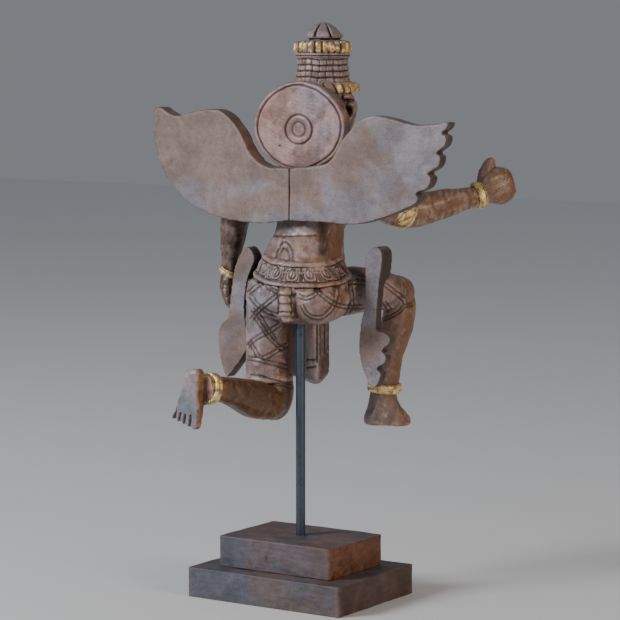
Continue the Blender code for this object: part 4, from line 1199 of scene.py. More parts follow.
@dataclass
class Crown(Assembly):
    """The tiered crown: a drum of pillow cuts, a ring of gilt blocks and a fluted bud.

    Attributes:
        foot: the middle of the drum's underside.
        first: how far above it the lowest tier of pillows begins.
        tier: the height of a tier.
        tiers: how many tiers there are.
        pillows: how many pillows go round.
        blocks: how many gilt blocks go round.
        ring_low: the height of the blocks' feet above the drum's.
        ring_high: the height of their tops.
    """

    foot: Row = (1.0, -44.0, 374.0)
    first: float = 2.0
    tier: float = 6.4
    tiers: int = 4
    pillows: int = 22
    blocks: int = 26
    ring_low: float = 33.0
    ring_high: float = 46.4

    def drum(self) -> None:
        """Make the drum: cell edges sink between pillows that are shifted from row to row."""
        top = self.first + self.tier * self.tiers
        heights = np.concatenate((np.arange(0.0, top + 0.01, 0.37), np.linspace(top + 0.2, 33.5, 22)))
        profile = [(0.2, -0.5), (28.0, -0.4)]
        for h in heights:
            share = min(h / top, 1.0)
            radius = 29.8 - 2.6 * share if h <= top else 27.4 + 1.9 * ease(top, top + 2.6, h)
            profile.append((float(radius), float(h)))
        profile += [(27.0, 33.6), (0.2, 33.7)]
        piece = Carving("crown_drum")
        piece.take(turned(profile, self.foot, 220))
        rel = piece.points - np.array(self.foot)
        angle = np.arctan2(rel[:, 1], rel[:, 0])
        high = rel[:, 2] + 0.45 * np.sin(angle * 3.0 + 1.0) + 0.3 * np.sin(angle * 7.0)
        row = np.floor((high - self.first) / self.tier)
        v = (high - self.first) / self.tier - row
        cell = angle * self.pillows / (TURN) + 0.1 * np.sin(row * 5.0 + angle * 4.0)
        u = cell - np.floor(cell)
        across = 1.0 - np.abs(2.0 * u - 1.0) ** 7
        slant = clamp(1.25 - v * 0.35)
        up = (1.0 - np.abs(2.0 * v - 1.0) ** 4.5) * slant
        inside = (row >= 0) & (row < self.tiers)
        pillow = np.where(inside, across * 0.85 + 0.15, 1.0) * np.where(inside, up, 1.0)
        wall = np.hypot(rel[:, 0], rel[:, 1]) > 20.0
        sink = np.where(wall, (1.0 - pillow) * 2.2, 0.0)
        ledge = line_depth(rel[:, 2] - (top + 3.4), 1.0, 0.5) * wall
        # Painted shade in the cuts between pillows and under the ledge
        shade = clamp((sink - 0.4) / 1.6) * 0.95 + clamp(ledge * 0.9)
        piece.cut(sink + ledge, shade)
        roughen(piece, 5.0, 0.12, 31)
        # Dust and painted sheen on the raised parts, none in the cuts
        piece.dust = 0.5 * (1.0 - piece.painted_shade)
        piece.finish(self.palette.carved)

    def ring(self) -> None:
        """Make the ring of gilt blocks on a core painted with shade."""
        core = Carving("crown_core")
        mid = (self.ring_low + self.ring_high) / 2.0
        core.take(turned([(0.2, 33.0), (27.0, 33.2), (27.4, mid), (27.0, self.ring_high - 0.8),
                          (24.5, self.ring_high), (0.2, self.ring_high + 0.2)], self.foot, 96))
        # The core is painted dark: the shade between the blocks
        core.painted_shade[:] = 0.7
        core.finish(self.palette.carved)
        gold = Carving("crown_blocks", 0.7, relax=2, edge=0.3)
        draw = np.random.default_rng(5)
        for k in range(self.blocks):
            turn = TURN * (k + 0.2) / self.blocks + draw.uniform(-0.025, 0.025)
            tall = (self.ring_high - self.ring_low) * draw.uniform(0.93, 1.0)
            gold.add(self.block(turn, tall, draw.uniform(2.6, 3.1)))
        gold.fuse()
        roughen(gold, 3.5, 0.16, 37)
        spots = DRAWING.spots(gold.points)
        gold.dust = ease(0.3, 0.55, ripple(gold.points, 11.0, 43) + 0.45 * (spots[:, 0] < 4.0))
        gold.finish(self.palette.gilt)

    def block(self, turn: float, tall: float, half: float) -> Shell:
        """Make one upright block of the ring, rounded off at its foot and its top."""
        out = np.array((math.cos(turn), math.sin(turn), 0.0))
        rise = np.array((0.0, 0.0, (self.ring_low + self.ring_high) / 2.0))
        mid = np.array(self.foot) + out * 27.0 + rise
        rows = []
        for share in np.linspace(-1.0, 1.0, 7):
            full = (1.0 - abs(share) ** 3.2) ** 0.5 if abs(share) < 1.0 else 0.0
            spot = mid + np.array((0.0, 0.0, share * tall / 2.0))
            rows.append((*spot, half * (0.72 + 0.28 * full), 1.2 + 3.1 * full))
        side = (-math.sin(turn), math.cos(turn), 0.0)
        return loft(rows, side=side, square=4.5, level=True, per=4, columns=32)

    def bud(self) -> None:
        """Make the bud: seven lobes parted by deep flutes that fade towards its tip."""
        profile = [(0.2, 46.0), *flowing(BUD_PROFILE, 8).tolist()]
        piece = Carving("crown_bud")
        piece.take(turned(profile, self.foot, 170))
        rel = piece.points - np.array(self.foot)
        angle = np.arctan2(rel[:, 1], rel[:, 0])
        lobe = np.abs(np.sin(angle * 3.5 + 0.9 + 0.3 * np.sin(angle * 2.0)))
        flute = np.exp(-((lobe / 0.24) ** 2))
        tall = ease(48.6, 50.8, rel[:, 2])
        sink = flute * tall * 3.2 * ease(1.0, 11.0, np.hypot(rel[:, 0], rel[:, 1]))
        lean = ease(48.0, 66.0, rel[:, 2])[:, None] * np.array((0.9, 0.6, 0.0))
        piece.points = piece.points + lean - np.array((1.8, 1.2, 0.0))
        under = line_depth(rel[:, 2] - 48.3, 1.2, 0.7) * (np.hypot(rel[:, 0], rel[:, 1]) > 15.0)
        # Painted shade in the flutes and under the lip
        piece.cut(sink + under, clamp(sink / 3.4 + under))
        roughen(piece, 6.0, 0.15, 41)
        # Dust and painted sheen on the raised parts, none in the flutes
        piece.dust = 0.5 * (1.0 - piece.painted_shade)
        piece.finish(self.palette.carved)

    def build(self) -> None:
        """Build the crown."""
        self.drum()
        self.ring()
        self.bud()


@dataclass
class Disc(Assembly):
    """The disc behind the head, with a raised boss, ring cuts and a rim.

    Attributes:
        centre: the middle of its front.
        radius: its upright radius.
        stretch: how much wider than tall it is.
        thickness: from front to back.
        rim: the radius of the cut along its edge.
        boss: the radius of the cut round the boss.
        button: the radius of the cut round the boss's middle.
    """

    centre: Row = (1.0, -12.0, 330.6)
    radius: float = 47.5
    stretch: float = 57.0 / 47.5
    thickness: float = 14.5
    rim: float = 43.6
    boss: float = 15.6
    button: float = 7.6

    def build(self) -> None:
        """Build the disc from a fine profile and cut its rings."""
        back = self.thickness
        profile = [(0.1, 0.0)] + [(float(r), 0.0) for r in np.linspace(2.0, 45.0, 20)]
        edge = np.linspace(0.0, math.pi / 2.0, 7)
        profile += [(45.0 + 2.5 * math.sin(a), 2.5 - 2.5 * math.cos(a)) for a in edge]
        profile += [(self.radius, float(h)) for h in np.linspace(3.0, back - 2.6, 14)]
        profile += [(45.8 + 1.7 * math.cos(a), back - 2.0 + 1.8 * math.sin(a)) for a in edge]
        profile += [(float(r), back) for r in np.arange(45.5, 0.5, -0.6)] + [(0.1, back)]
        piece = Carving("halo_disc")
        piece.take(turned(profile[::-1], self.centre, 220, axis="y", stretch=self.stretch))
        rel = piece.points - np.array(self.centre)
        reach = np.hypot(rel[:, 0] / self.stretch, rel[:, 2])
        angle = np.arctan2(rel[:, 2], rel[:, 0])
        depth, shade = self.rings(piece, rel, reach)
        square = (0.7 * np.cos(4.0 * angle) - 0.35) * ease(30.0, 46.0, reach)
        outward = unit(np.stack((rel[:, 0], np.zeros(len(rel)), rel[:, 2]), axis=1) + 1e-9)
        piece.cut(depth, shade)
        uneven = ripple(piece.points, 18.0, 53) * 0.25 * ease(38.0, 46.0, reach)
        piece.points = piece.points + outward * (square + uneven)[:, None]
        roughen(piece, 11.0, 0.1, 55)
        piece.finish(self.palette.disc)

    def rings(self, piece: Carving, rel: Array, reach: Array) -> tuple[Array, Array]:
        """Give the depth and the painted shade of the rear's ring cuts, its boss and its nail hole.

        Args:
            piece: the disc.
            rel: its points, counted from its centre.
            reach: their distances from the axis, the stretch taken out.

        Returns:
            Depth and painted shade of each point.
        """
        rear = ease(0.5, 0.9, piece.normals()[:, 1])
        wobble = ripple(piece.points, 24.0, 51) * 0.25
        boss = np.hypot(rel[:, 0] / 1.09 + 0.4, rel[:, 2] + 2.6)
        nail = np.hypot(rel[:, 0] - 24.0, rel[:, 2] + 20.5)
        rim = reach - self.rim + wobble
        ring, button = boss - self.boss + wobble, boss - self.button + wobble
        depth = line_depth(rim, 1.7, 0.8) + line_depth(ring, 1.6, 0.8) + line_depth(button, 1.1, 0.7)
        raised = line_depth(boss - 11.6, 0.8, 2.6) + line_depth(boss, 0.5, 5.0)
        depth = depth - raised + line_depth(nail, 2.0, 1.0)
        lines = line_depth(rim, 0.9, 0.7) + line_depth(ring, 0.9, 0.7) + line_depth(button, 0.6, 0.6)
        lines = lines + line_depth(nail, 1.0, 1.0)
        return depth * rear, clamp(lines) * rear


NAPE = ((1, -30, 334, 24, 26), (1, -10, 332, 28, 30))
BEAK = (
    (1, -68, 347, 8, 9), (1, -77, 344, 6.6, 8), (1, -84, 338.5, 5.2, 6.2),
    (1, -88.5, 331, 3.6, 4), (1, -89.5, 325.5, 1.4, 1.6),
)
LOWER_BEAK = (
    (1, -66, 330, 9, 5), (1, -76, 328, 6.5, 3.8), (1, -83, 327, 3, 2.2),
)
# These three count x outwards from the head's middle
EAR = (
    (25, -43, 316, 4, 5), (28.5, -46, 328, 4.8, 6.5), (31, -50, 341, 5, 6.8),
    (32.5, -52, 352, 4.8, 6), (29, -50, 364, 3, 4),
)
BROW = (
    (3.5, -74, 352, 2.2, 2.2), (11, -72.5, 356.5, 2.6, 2.4), (18, -68, 356, 2.4, 2.2),
    (24, -60, 351, 1.6, 1.6),
)
TEMPLE = ((25, -40, 362, 5, 9), (31.5, -50, 361.5, 3, 8))


@dataclass
class Head(Assembly):
    """The neck, the bird-beaked face, ears, hair and the gilt diadem.

    Attributes:
        middle: the x of the head's middle.
        eye: how far out and how high an eye lies.
        diadem_middle: the middle of the diadem.
        blocks: how many blocks the diadem has.
    """

    middle: float = 1.0
    eye: tuple[float, float] = (11.8, 346.5)
    diadem_middle: Row = (1.0, -44.0, 371.2)
    blocks: int = 24

    def build(self) -> None:
        """Build the head."""
        piece = Carving("head", 1.2)
        piece.add(loft(NECK, level=True), loft(HEAD, level=True), loft(NAPE))
        piece.add(loft(BEAK, square=2.4), loft(LOWER_BEAK))
        for sign in (-1.0, 1.0):
            piece.add(*self.side(sign))
        piece.fuse()
        self.features(piece)
        roughen(piece, 7.0, 0.12, 61)
        piece.finish(self.palette.carved)
        self.diadem()

    def side(self, sign: float) -> list[Shell]:
        """Give one side's ear, brow, eye, cheek, ear disc and temple."""
        ear, brow, temple = (
            [(self.middle + sign * row[0], *row[1:]) for row in rows] for rows in (EAR, BROW, TEMPLE)
        )
        eye, cheek, ear_disc = (self.middle + sign * out for out in (self.eye[0], 14.5, 31.5))
        return [
            loft(ear), loft(brow, side=(0, 0, 1), columns=20),
            egg((eye, -69.5, self.eye[1]), (5.6, 4.2, 3.6)),
            egg((cheek, -64.0, 331.0), (8.5, 8.0, 8.0)),
            egg((ear_disc, -50.5, 352.0), (5.6, 7.5, 6.0)),
            loft(temple, side=(0, 0, 1)),
        ]

    def features(self, piece: Carving) -> None:
        """Cut the eyelids, nostrils, beak line, ear hollows and the locks behind the ears, with
        painted shade in them.
        """
        p = piece.points
        x = np.abs(p[:, 0] - self.middle)
        front = ease(-60.0, -66.0, p[:, 1])
        out, up = x - self.eye[0], p[:, 2] - self.eye[1]
        lids = line_depth((np.hypot(out / 5.6, up / 3.4) - 1.12) * 4.0, 0.8, 0.7) * front
        pupil = line_depth(np.hypot(out, up) - 1.8, 0.6, 0.5) * front
        mouth = line_depth(p[:, 2] - 331.8 - 0.02 * (p[:, 1] + 70.0), 1.1, 0.7) * front * (x < 11.0)
        nostril = line_depth(np.hypot(x - 4.2, p[:, 2] - 343.0), 1.0, 0.9) * front
        well = np.hypot((p[:, 1] + 44.0) / 1.3, (p[:, 2] - 345.0) / 2.4)
        ear_well = line_depth(well, 2.2, 2.6) * (x > 27.0)
        ring = line_depth(p[:, 2] - 358.0, 1.3, 0.9) * (x > 24.0)
        behind = ease(-40.0, -34.0, p[:, 1]) * ease(306.0, 312.0, p[:, 2])
        turn = np.arctan2(p[:, 0] - self.middle, -(p[:, 1] + 30.0))
        locks = line_depth(mid_gap(turn * 12.0), 0.9, 0.14) * behind
        depth = lids + pupil + mouth + nostril + ear_well + ring + locks
        piece.cut(depth, clamp(depth / 1.1))

    def diadem(self) -> None:
        """Make the gilt band of small blocks under the crown."""
        gold = Carving("diadem", 0.78, relax=1)
        gold.add(hoop(self.diadem_middle, (0, 0, 1), 35.0, 36.8, 3.6, 5.6, columns=200))
        gold.fuse()
        rel = gold.points - np.array(self.diadem_middle)
        angle = np.arctan2(rel[:, 1], rel[:, 0])
        swirl = angle + rel[:, 2] * 0.012
        share = swirl * self.blocks / (TURN)
        cuts = line_depth(mid_gap(share) * 9.3, 1.4, 0.8)
        spots = DRAWING.spots(gold.points)
        gold.dust = ease(30.5, 27.0, spots[:, 0]) * (gold.points[:, 1] > -60.0)
        # Painted shade in the cuts between the blocks
        gold.cut(cuts, clamp(cuts / 0.8))
        roughen(gold, 3.0, 0.1, 67)
        gold.finish(self.palette.gilt)


@dataclass(frozen=True)
class Band:
    """A gilt band round a limb.

    Attributes:
        name: the piece's name.
        centre: its middle.
        along: the way the limb runs.
        wide: half the limb's width.
        deep: half the limb's depth.
        thick: half its size outwards.
        tall: half its size along the limb.
        beads: how many beads go round, or 0 for one line along its edge.
        side: the way that the limb's width lies along.
    """

    name: str
    centre: Row
    along: Row
    wide: float
    deep: float
    thick: float
    tall: float
    beads: int = 0
    side: Row = (1, 0, 0)

    def make(self, gilt: Material) -> None:
        """Make the band, cut across into beads or round by a line."""
        gold = Carving(self.name, 0.74, relax=1)
        gold.add(hoop(self.centre, self.along, self.wide, self.deep, self.thick, self.tall,
                      self.side, columns=120))
        gold.fuse()
        axis = unit(np.asarray(self.along, dtype=float))
        side = np.asarray(self.side, dtype=float)
        rel = gold.points - np.asarray(self.centre)
        width = unit(side - axis * (axis @ side))
        angle = np.arctan2(rel @ np.cross(axis, width), rel @ width)
        up = rel @ axis
        cuts = self.beading(angle, up) if self.beads else line_depth(up - self.tall * 0.45, 0.7, 0.5)
        # Painted shade in the cuts
        gold.cut(cuts, clamp(cuts / 0.6))
        roughen(gold, 3.0, 0.08, 79)
        gold.finish(gilt)

    def beading(self, angle: Array, up: Array) -> Array:
        """Give the cuts of a beaded band: slanted scrolls between two plain rims."""
        swirl = angle * self.beads / (TURN) + up * 0.09
        gap = mid_gap(swirl) * (TURN * self.wide / self.beads)
        scrolls = line_depth(gap, 1.0, 0.6) * (np.abs(up) < self.tall * 0.62)
        return np.maximum(scrolls, line_depth(np.abs(up) - self.tall * 0.6, 0.8, 0.45))


JEWELS = (
    Band("collar", (0, -35, 283.5), (0, -0.35, 1), 27, 22, 2.6, 3.4, 26),
    Band("necklace", (0, -38, 270), (0, -0.85, 1), 33, 30, 2.2, 2.6, 40),
    Band("right_bracelet", (-111, -182.5, 253), (-0.5, -0.82, 0.28), 11.2, 12.2, 3, 5.6),
    Band("left_bracelet", (105, -20, 171), (-0.45, 0, 0.9), 10.6, 10.6, 2.2, 4),
    Band("right_armband", (-63, -94.5, 241), (-0.22, -0.88, -0.4), 17, 17.4, 2.6, 13, 9),
    Band("left_armband", (74, -29, 259), (0.93, 0, -0.36), 17.4, 17.4, 2, 7, 14, (0, 0, 1)),
)
ARCH_OUTER = (
    (-36, 50), (-35, 60), (-33, 66), (-27, 73.5), (-20.5, 67), (-18.5, 60),
    (-18, 48),
)
ARCH_INNER = ((-32.5, 53), (-31.5, 60), (-27, 67), (-23, 61), (-21.5, 53))
LEDGE = ((-45, 79.5), (-25, 78.5), (-14, 79.5), (8, 79))


@dataclass
class Upper(Assembly):
    """The torso, both arms and hands, and their jewellery."""

    def torso(self) -> None:
        """Make the torso and the arms, faceted by the chisel."""
        piece = Carving("torso", 1.55, relax=6)
        piece.add(loft(TORSO, level=True, columns=60, square=2.9), loft(NECK, level=True))
        piece.add(loft(RIGHT_ARM, side=(1, -0.4, 0), columns=22, square=2.5))
        piece.add(loft(LEFT_UPPER_ARM, side=(0, 0, 1), columns=12, square=2.5, per=5))
        piece.add(loft(LEFT_FOREARM, columns=18, square=2.4))
        for sign in (-1.0, 1.0):
            piece.add(egg((sign * 20.0, -52.0, 262.0), (20.0, 10.0, 13.0)))
            piece.add(egg((sign * 20.0, -8.0, 258.0), (22.0, 11.0, 19.0)))
        piece.fuse()
        piece.soften(5)
        p = piece.points
        n = piece.normals()
        front = ease(-0.1, -0.5, n[:, 1])
        belly = line_depth(p[:, 0], 1.2, 2.2) * front * ease(254.0, 240.0, p[:, 2])
        navel = line_depth(np.hypot(p[:, 0], p[:, 2] - 205.0), 2.0, 2.6) * front
        folds = line_depth(plane_lines(p, (0, 0.1, 1), 11.0, 205.0), 0.7, 0.9)
        folds = folds * front * (np.abs(p[:, 0]) < 40.0) * ease(236.0, 228.0, p[:, 2])
        # Painted shade in the navel and the folds
        piece.cut(belly + navel + folds, clamp((navel + folds) * 0.7))
        self.arch(piece)
        # Painted shadow of the left wing over the left arm
        piece.painted_shade = np.maximum(piece.painted_shade, 0.42 * ease(62.0, 80.0, p[:, 0]))
        # A painted highlight on the lit middle of the waist, carried by the dust mark
        waist = ease(42.0, 38.0, np.abs(p[:, 0])) * ease(192.0, 198.0, p[:, 2])
        waist = waist * (p[:, 2] < 240.0)
        lit = ease(16.0, 8.0, DRAWING.spots(p)[:, 0]) * Drawing.seen(n) * (1.0 - piece.painted_shade)
        piece.dust = waist * lit * (0.55 + 0.25 * ripple(p, 16.0, 77))
        roughen(piece, 22.0, 0.4, 71)
        piece.finish(self.palette.limbs)

    @staticmethod
    def arch(piece: Carving) -> None:
        """Cut the arch above the belt and the ledge under the wings, and paint a band of shade down
        the back.
        """
        carve_strokes(piece, (
            Stroke(ARCH_OUTER, 0.0, 1.5), Stroke(ARCH_INNER, 0.0, 1.3), Stroke(LEDGE, 0.0, 0.8, 1.2),
        ))
        # A band of painted shade where the back's middle facet ends
        spots = DRAWING.spots(piece.points)
        dark = ease(7.0, 11.0, spots[:, 0]) * ease(24.0, 14.0, spots[:, 0])
        dark = dark * ease(40.0, 60.0, spots[:, 1]) * Drawing.seen(piece.normals())
        piece.painted_shade = np.maximum(piece.painted_shade, 0.5 * dark)

    def hands(self) -> None:
        """Make the hands: blocky palms with cuts between the fingers."""
        right = Carving("right_hand", 0.9, relax=6)
        right.add(loft(RIGHT_PALM, side=(0.85, -0.53, 0), square=3.8, columns=24, per=5))
        right.add(loft(RIGHT_THUMB, columns=10, per=5), loft(RIGHT_ARM[-2:], columns=14))
        right.fuse()
        p = right.points
        along = unit(np.array((-0.55, -0.75, 0.35)))
        tip = (p - np.array(RIGHT_PALM[0][:3])) @ along
        gap = mid_gap(p[:, 2] + 0.25 * p[:, 1] - 1.5, 8.5)
        fingers = line_depth(gap, 1.0, 0.8)
        fingers = fingers * ease(22.0, 30.0, tip) * (1.0 - Drawing.seen(right.normals()))
        right.cut(fingers, clamp(fingers) * 0.8)
        roughen(right, 9.0, 0.25, 73)
        right.finish(self.palette.limbs)
        left = Carving("left_hand", 0.95)
        left.add(loft(LEFT_HAND, square=2.8, columns=14, per=5), loft(LEFT_FOREARM[:2], columns=14))
        left.add(loft(LEFT_THUMB))
        left.fuse()
        p = left.points
        fingers = line_depth(mid_gap(p[:, 1] + 12.0, 5.6), 1.0, 0.7)
        fingers = fingers * ease(152.0, 146.0, p[:, 2])
        # The whole left hand is painted darker as the shadow of the left wing, more so between the
        # fingers
        left.cut(fingers, np.maximum(clamp(fingers) * 0.8, 0.42))
        roughen(left, 9.0, 0.25, 75)
        left.finish(self.palette.limbs)

    def build(self) -> None:
        """Build the upper body and its jewellery."""
        self.torso()
        self.hands()
        for jewel in JEWELS:
            jewel.make(self.palette.gilt)


@dataclass
class Belt(Assembly):
    """The belt: two rounded borders and a ring of cells with leaves between them.

    Attributes:
        centre: its middle.
        tilt: how far its rear hangs down.
        columns: points round it.
        leaves: how many cells go round.
        hollow: the share of its width at which its inner wall stands.
    """

    centre: Row = (1.0, -5.0, 184.5)
    tilt: float = math.radians(9.5)
    columns: int = 440
    leaves: int = 15
    hollow: float = 0.6

    def axes(self) -> tuple[Array, Array, Array]:
        """Give the belt's axis, and its ways across and ahead."""
        lean = math.sin(self.tilt)
        level = (-lean * math.sin(VIEW_TURN), lean * math.cos(VIEW_TURN))
        axis = unit(np.array((*level, math.cos(self.tilt))))
        across = unit(np.array((1.0, 0.0, 0.0)) - axis * axis[0])
        return axis, across, np.cross(axis, across)

    def build(self) -> None:
        """Build the belt as a ring whose outer face is cut by (turn, height) cells."""
        axis, across, ahead = self.axes()
        centre = np.asarray(self.centre)
        outer = np.arange(-12.5, 12.6, 0.5)
        turn = TURN * np.arange(self.columns) / self.columns
        narrow = 8.0 * (outer + 8.5) / 17.0
        relief, shade = self.relief(turn[None, :], outer[:, None])
        wide = (50.5 - narrow)[:, None] + relief
        deep = (47.5 - narrow)[:, None] + relief
        ring = centre + axis * outer[:, None, None]
        ring = ring + wide[..., None] * np.cos(turn)[None, :, None] * across
        ring = ring + deep[..., None] * np.sin(turn)[None, :, None] * ahead
        low, high = (centre + axis * outer[k] for k in (0, -1))
        inner_low = low + self.hollow * (ring[:1] - low)
        inner_high = high + self.hollow * (ring[-1:] - high)
        grid = np.concatenate((inner_low, ring, inner_high))
        piece = Carving("belt")
        faces = grid_faces(len(grid), self.columns, wrap_rows=True)
        piece.take(Shell(grid.reshape(-1, 3), faces.tolist()))
        # The hidden inner walls are painted fully dark as the shade inside the ring; the outer face
        # takes the relief's painted shade
        piece.painted_shade = np.concatenate((np.ones(self.columns), shade.ravel(), np.ones(self.columns)))
        roughen(piece, 4.0, 0.1, 81)
        piece.finish(self.palette.carved)

    def relief(self, turn: Array, high: Array) -> tuple[Array, Array]:
        """Give the outer face's height and painted shade.

        The two borders are half rounds with a fine line beside them. The face between them
        is cut into cells by pairs of slanted lines. Each cell holds a bracket, the lower part
        of the superellipse |u / 0.35| to the 3 + |v / 6.2| to the 3 = 1, round a leaf, the
        ellipse (u / 0.2, v / 4.6), with a slanted rib.

        Args:
            turn: the turn about the belt's axis, a row.
            high: the height along it, a column.

        Returns:
            The height and the painted shade at each turn and height.
        """
        high = high + 0.3 * np.sin(turn * 5.0 + 0.4) + 0.2 * np.sin(turn * 11.0)
        border = np.zeros_like(high)
        for level in (9.9, -9.9):
            t = (high - level) / 2.5
            border = np.maximum(border, np.sqrt(clamp(1.0 - t * t)) * 2.6)
        cell = turn * self.leaves / (TURN) + 0.05 * np.sin(turn * 3.0)
        slope = 0.02 * np.sin(turn * 2.3 + 1.0) + 0.012
        u = (cell % 1.0) - 0.5 + slope * high
        side = mid_gap(u + 0.5)
        bars = np.exp(-(((side - 0.43) / 0.022) ** 2)) + np.exp(-(((side - 0.49) / 0.018) ** 2))
        shape = (np.abs(u / 0.35) ** 3 + np.abs((high + 0.3) / 6.2) ** 3) ** (1.0 / 3.0)
        bracket = np.exp(-(((shape - 1.0) / 0.075) ** 2)) * (high < 4.2)
        leaf = np.hypot(u / 0.2, (high - 1.0) / 4.6)
        outline = np.exp(-(((leaf - 1.0) / 0.14) ** 2))
        rib = np.exp(-(((u - 0.014 * high) / 0.024) ** 2)) * (leaf < 0.9)
        lines = np.maximum(np.maximum(bars * (np.abs(high) < 6.2), bracket), np.maximum(outline, rib))
        swell = clamp(1.0 - leaf * 0.6) * 0.8
        inside = np.abs(high) < 7.0
        face = np.where(inside, 1.5 + swell - clamp(lines) * 1.5, 0.0)
        # Painted shade in the gaps beside the face
        gap = np.exp(-(((np.abs(high) - 7.2) / 0.5) ** 2))
        # Painted shadow under the lower border
        under = np.exp(-(((high + 12.4) / 0.7) ** 2))
        relief = np.maximum(border, face) - gap - 0.8
        dark = np.where(inside, clamp(lines) ** 1.5 * 0.8, 0.0)
        return relief, clamp(np.maximum(np.maximum(dark, gap * 0.8), under))


# The lines of the cloth, on the picture plane
KNEE_CREASE = ((-63.5, -68.5), (-49, -71), (-35, -75), (-19.5, -79))
CLOTH_LINES = (
    Stroke(((-44.5, 33.5), (-55, 26.5), (-66, 17.5))),
    Stroke(((-33, 17), (-45.5, 6.5), (-56.5, -3), (-62, -10.5))),
    Stroke(((-52, 33.5), (-47.5, 27.5), (-40.5, 21), (-32, 17.5))),
    Stroke(((-63.5, 14.5), (-56, 5.5), (-45.5, -2), (-34, -6.5))),
    Stroke(((-61.5, 0), (-53, -7.5), (-46.5, -18.5), (-35.5, -33))),
    Stroke(((-59, -7), (-49, -20), (-42, -30), (-32, -39), (-26.5, -41.5))),
    Stroke(((-31, -15), (-43.5, -23), (-59, -31.5), (-66.5, -39))),
    Stroke(((-23.5, -36.5), (-38, -45.5), (-50, -52))),
    Stroke(((-65, -33), (-59, -42.5), (-54, -50.5))),
    Stroke(((-66.5, -51), (-49, -54.5), (-38, -57), (-22, -60.5))),
    Stroke(((-13, 14.5), (-4.5, 12), (3.5, 15), (9, 22), (10.5, 26.5))),
    Stroke(((5.5, 25.5), (14.5, 14.5), (26.5, 6.5), (40, 3), (57.5, 3.5))),
    Stroke(((28.5, 26.5), (29, 18), (25.5, 4.5), (18, -4.5), (11, -8.5), (2.5, -8), (-4.5, -3),
            (-9, 5.5))),
    Stroke(((43.5, 33), (43.5, 23.5), (45, 13.5), (43.5, 3.5), (39, -6.5))),
    Stroke(((41, 29), (50, 30), (58.5, 29.5))),
    Stroke(((47.5, 45), (54, 39), (58.5, 31))),
    Stroke(KNEE_CREASE, twin=0, depth=1.6),
)
PANEL_LINES = (
    Stroke(((-4.5, -52.9), (6.6, -52.7)), twin=0, depth=1.6),
    Stroke(((-4.5, -61.4), (6.6, -59.9)), twin=0, depth=1.6),
    Stroke(((7.6, -15.5), (7.6, -55.5)), twin=0, depth=1.8),
    Stroke(((11.2, -15.5), (11.4, -48)), twin=0, depth=1.5),
    Stroke(((16.2, -15.5), (16.4, -47)), twin=0, depth=1.8),
    Stroke(((19.6, -15.5), (19.8, -43)), twin=0, depth=1),
)
KNEE_LINES = (
    Stroke(((78.5, 28.5), (88.5, 20.5), (98.5, 12.5), (101.5, 7))),
    Stroke(((78.5, 8.5), (85, -1))),
    Stroke(((77, -10), (85.5, -6.5), (94, -2), (98.5, 2.5), (109, 6.5)), twin=1.5),
)


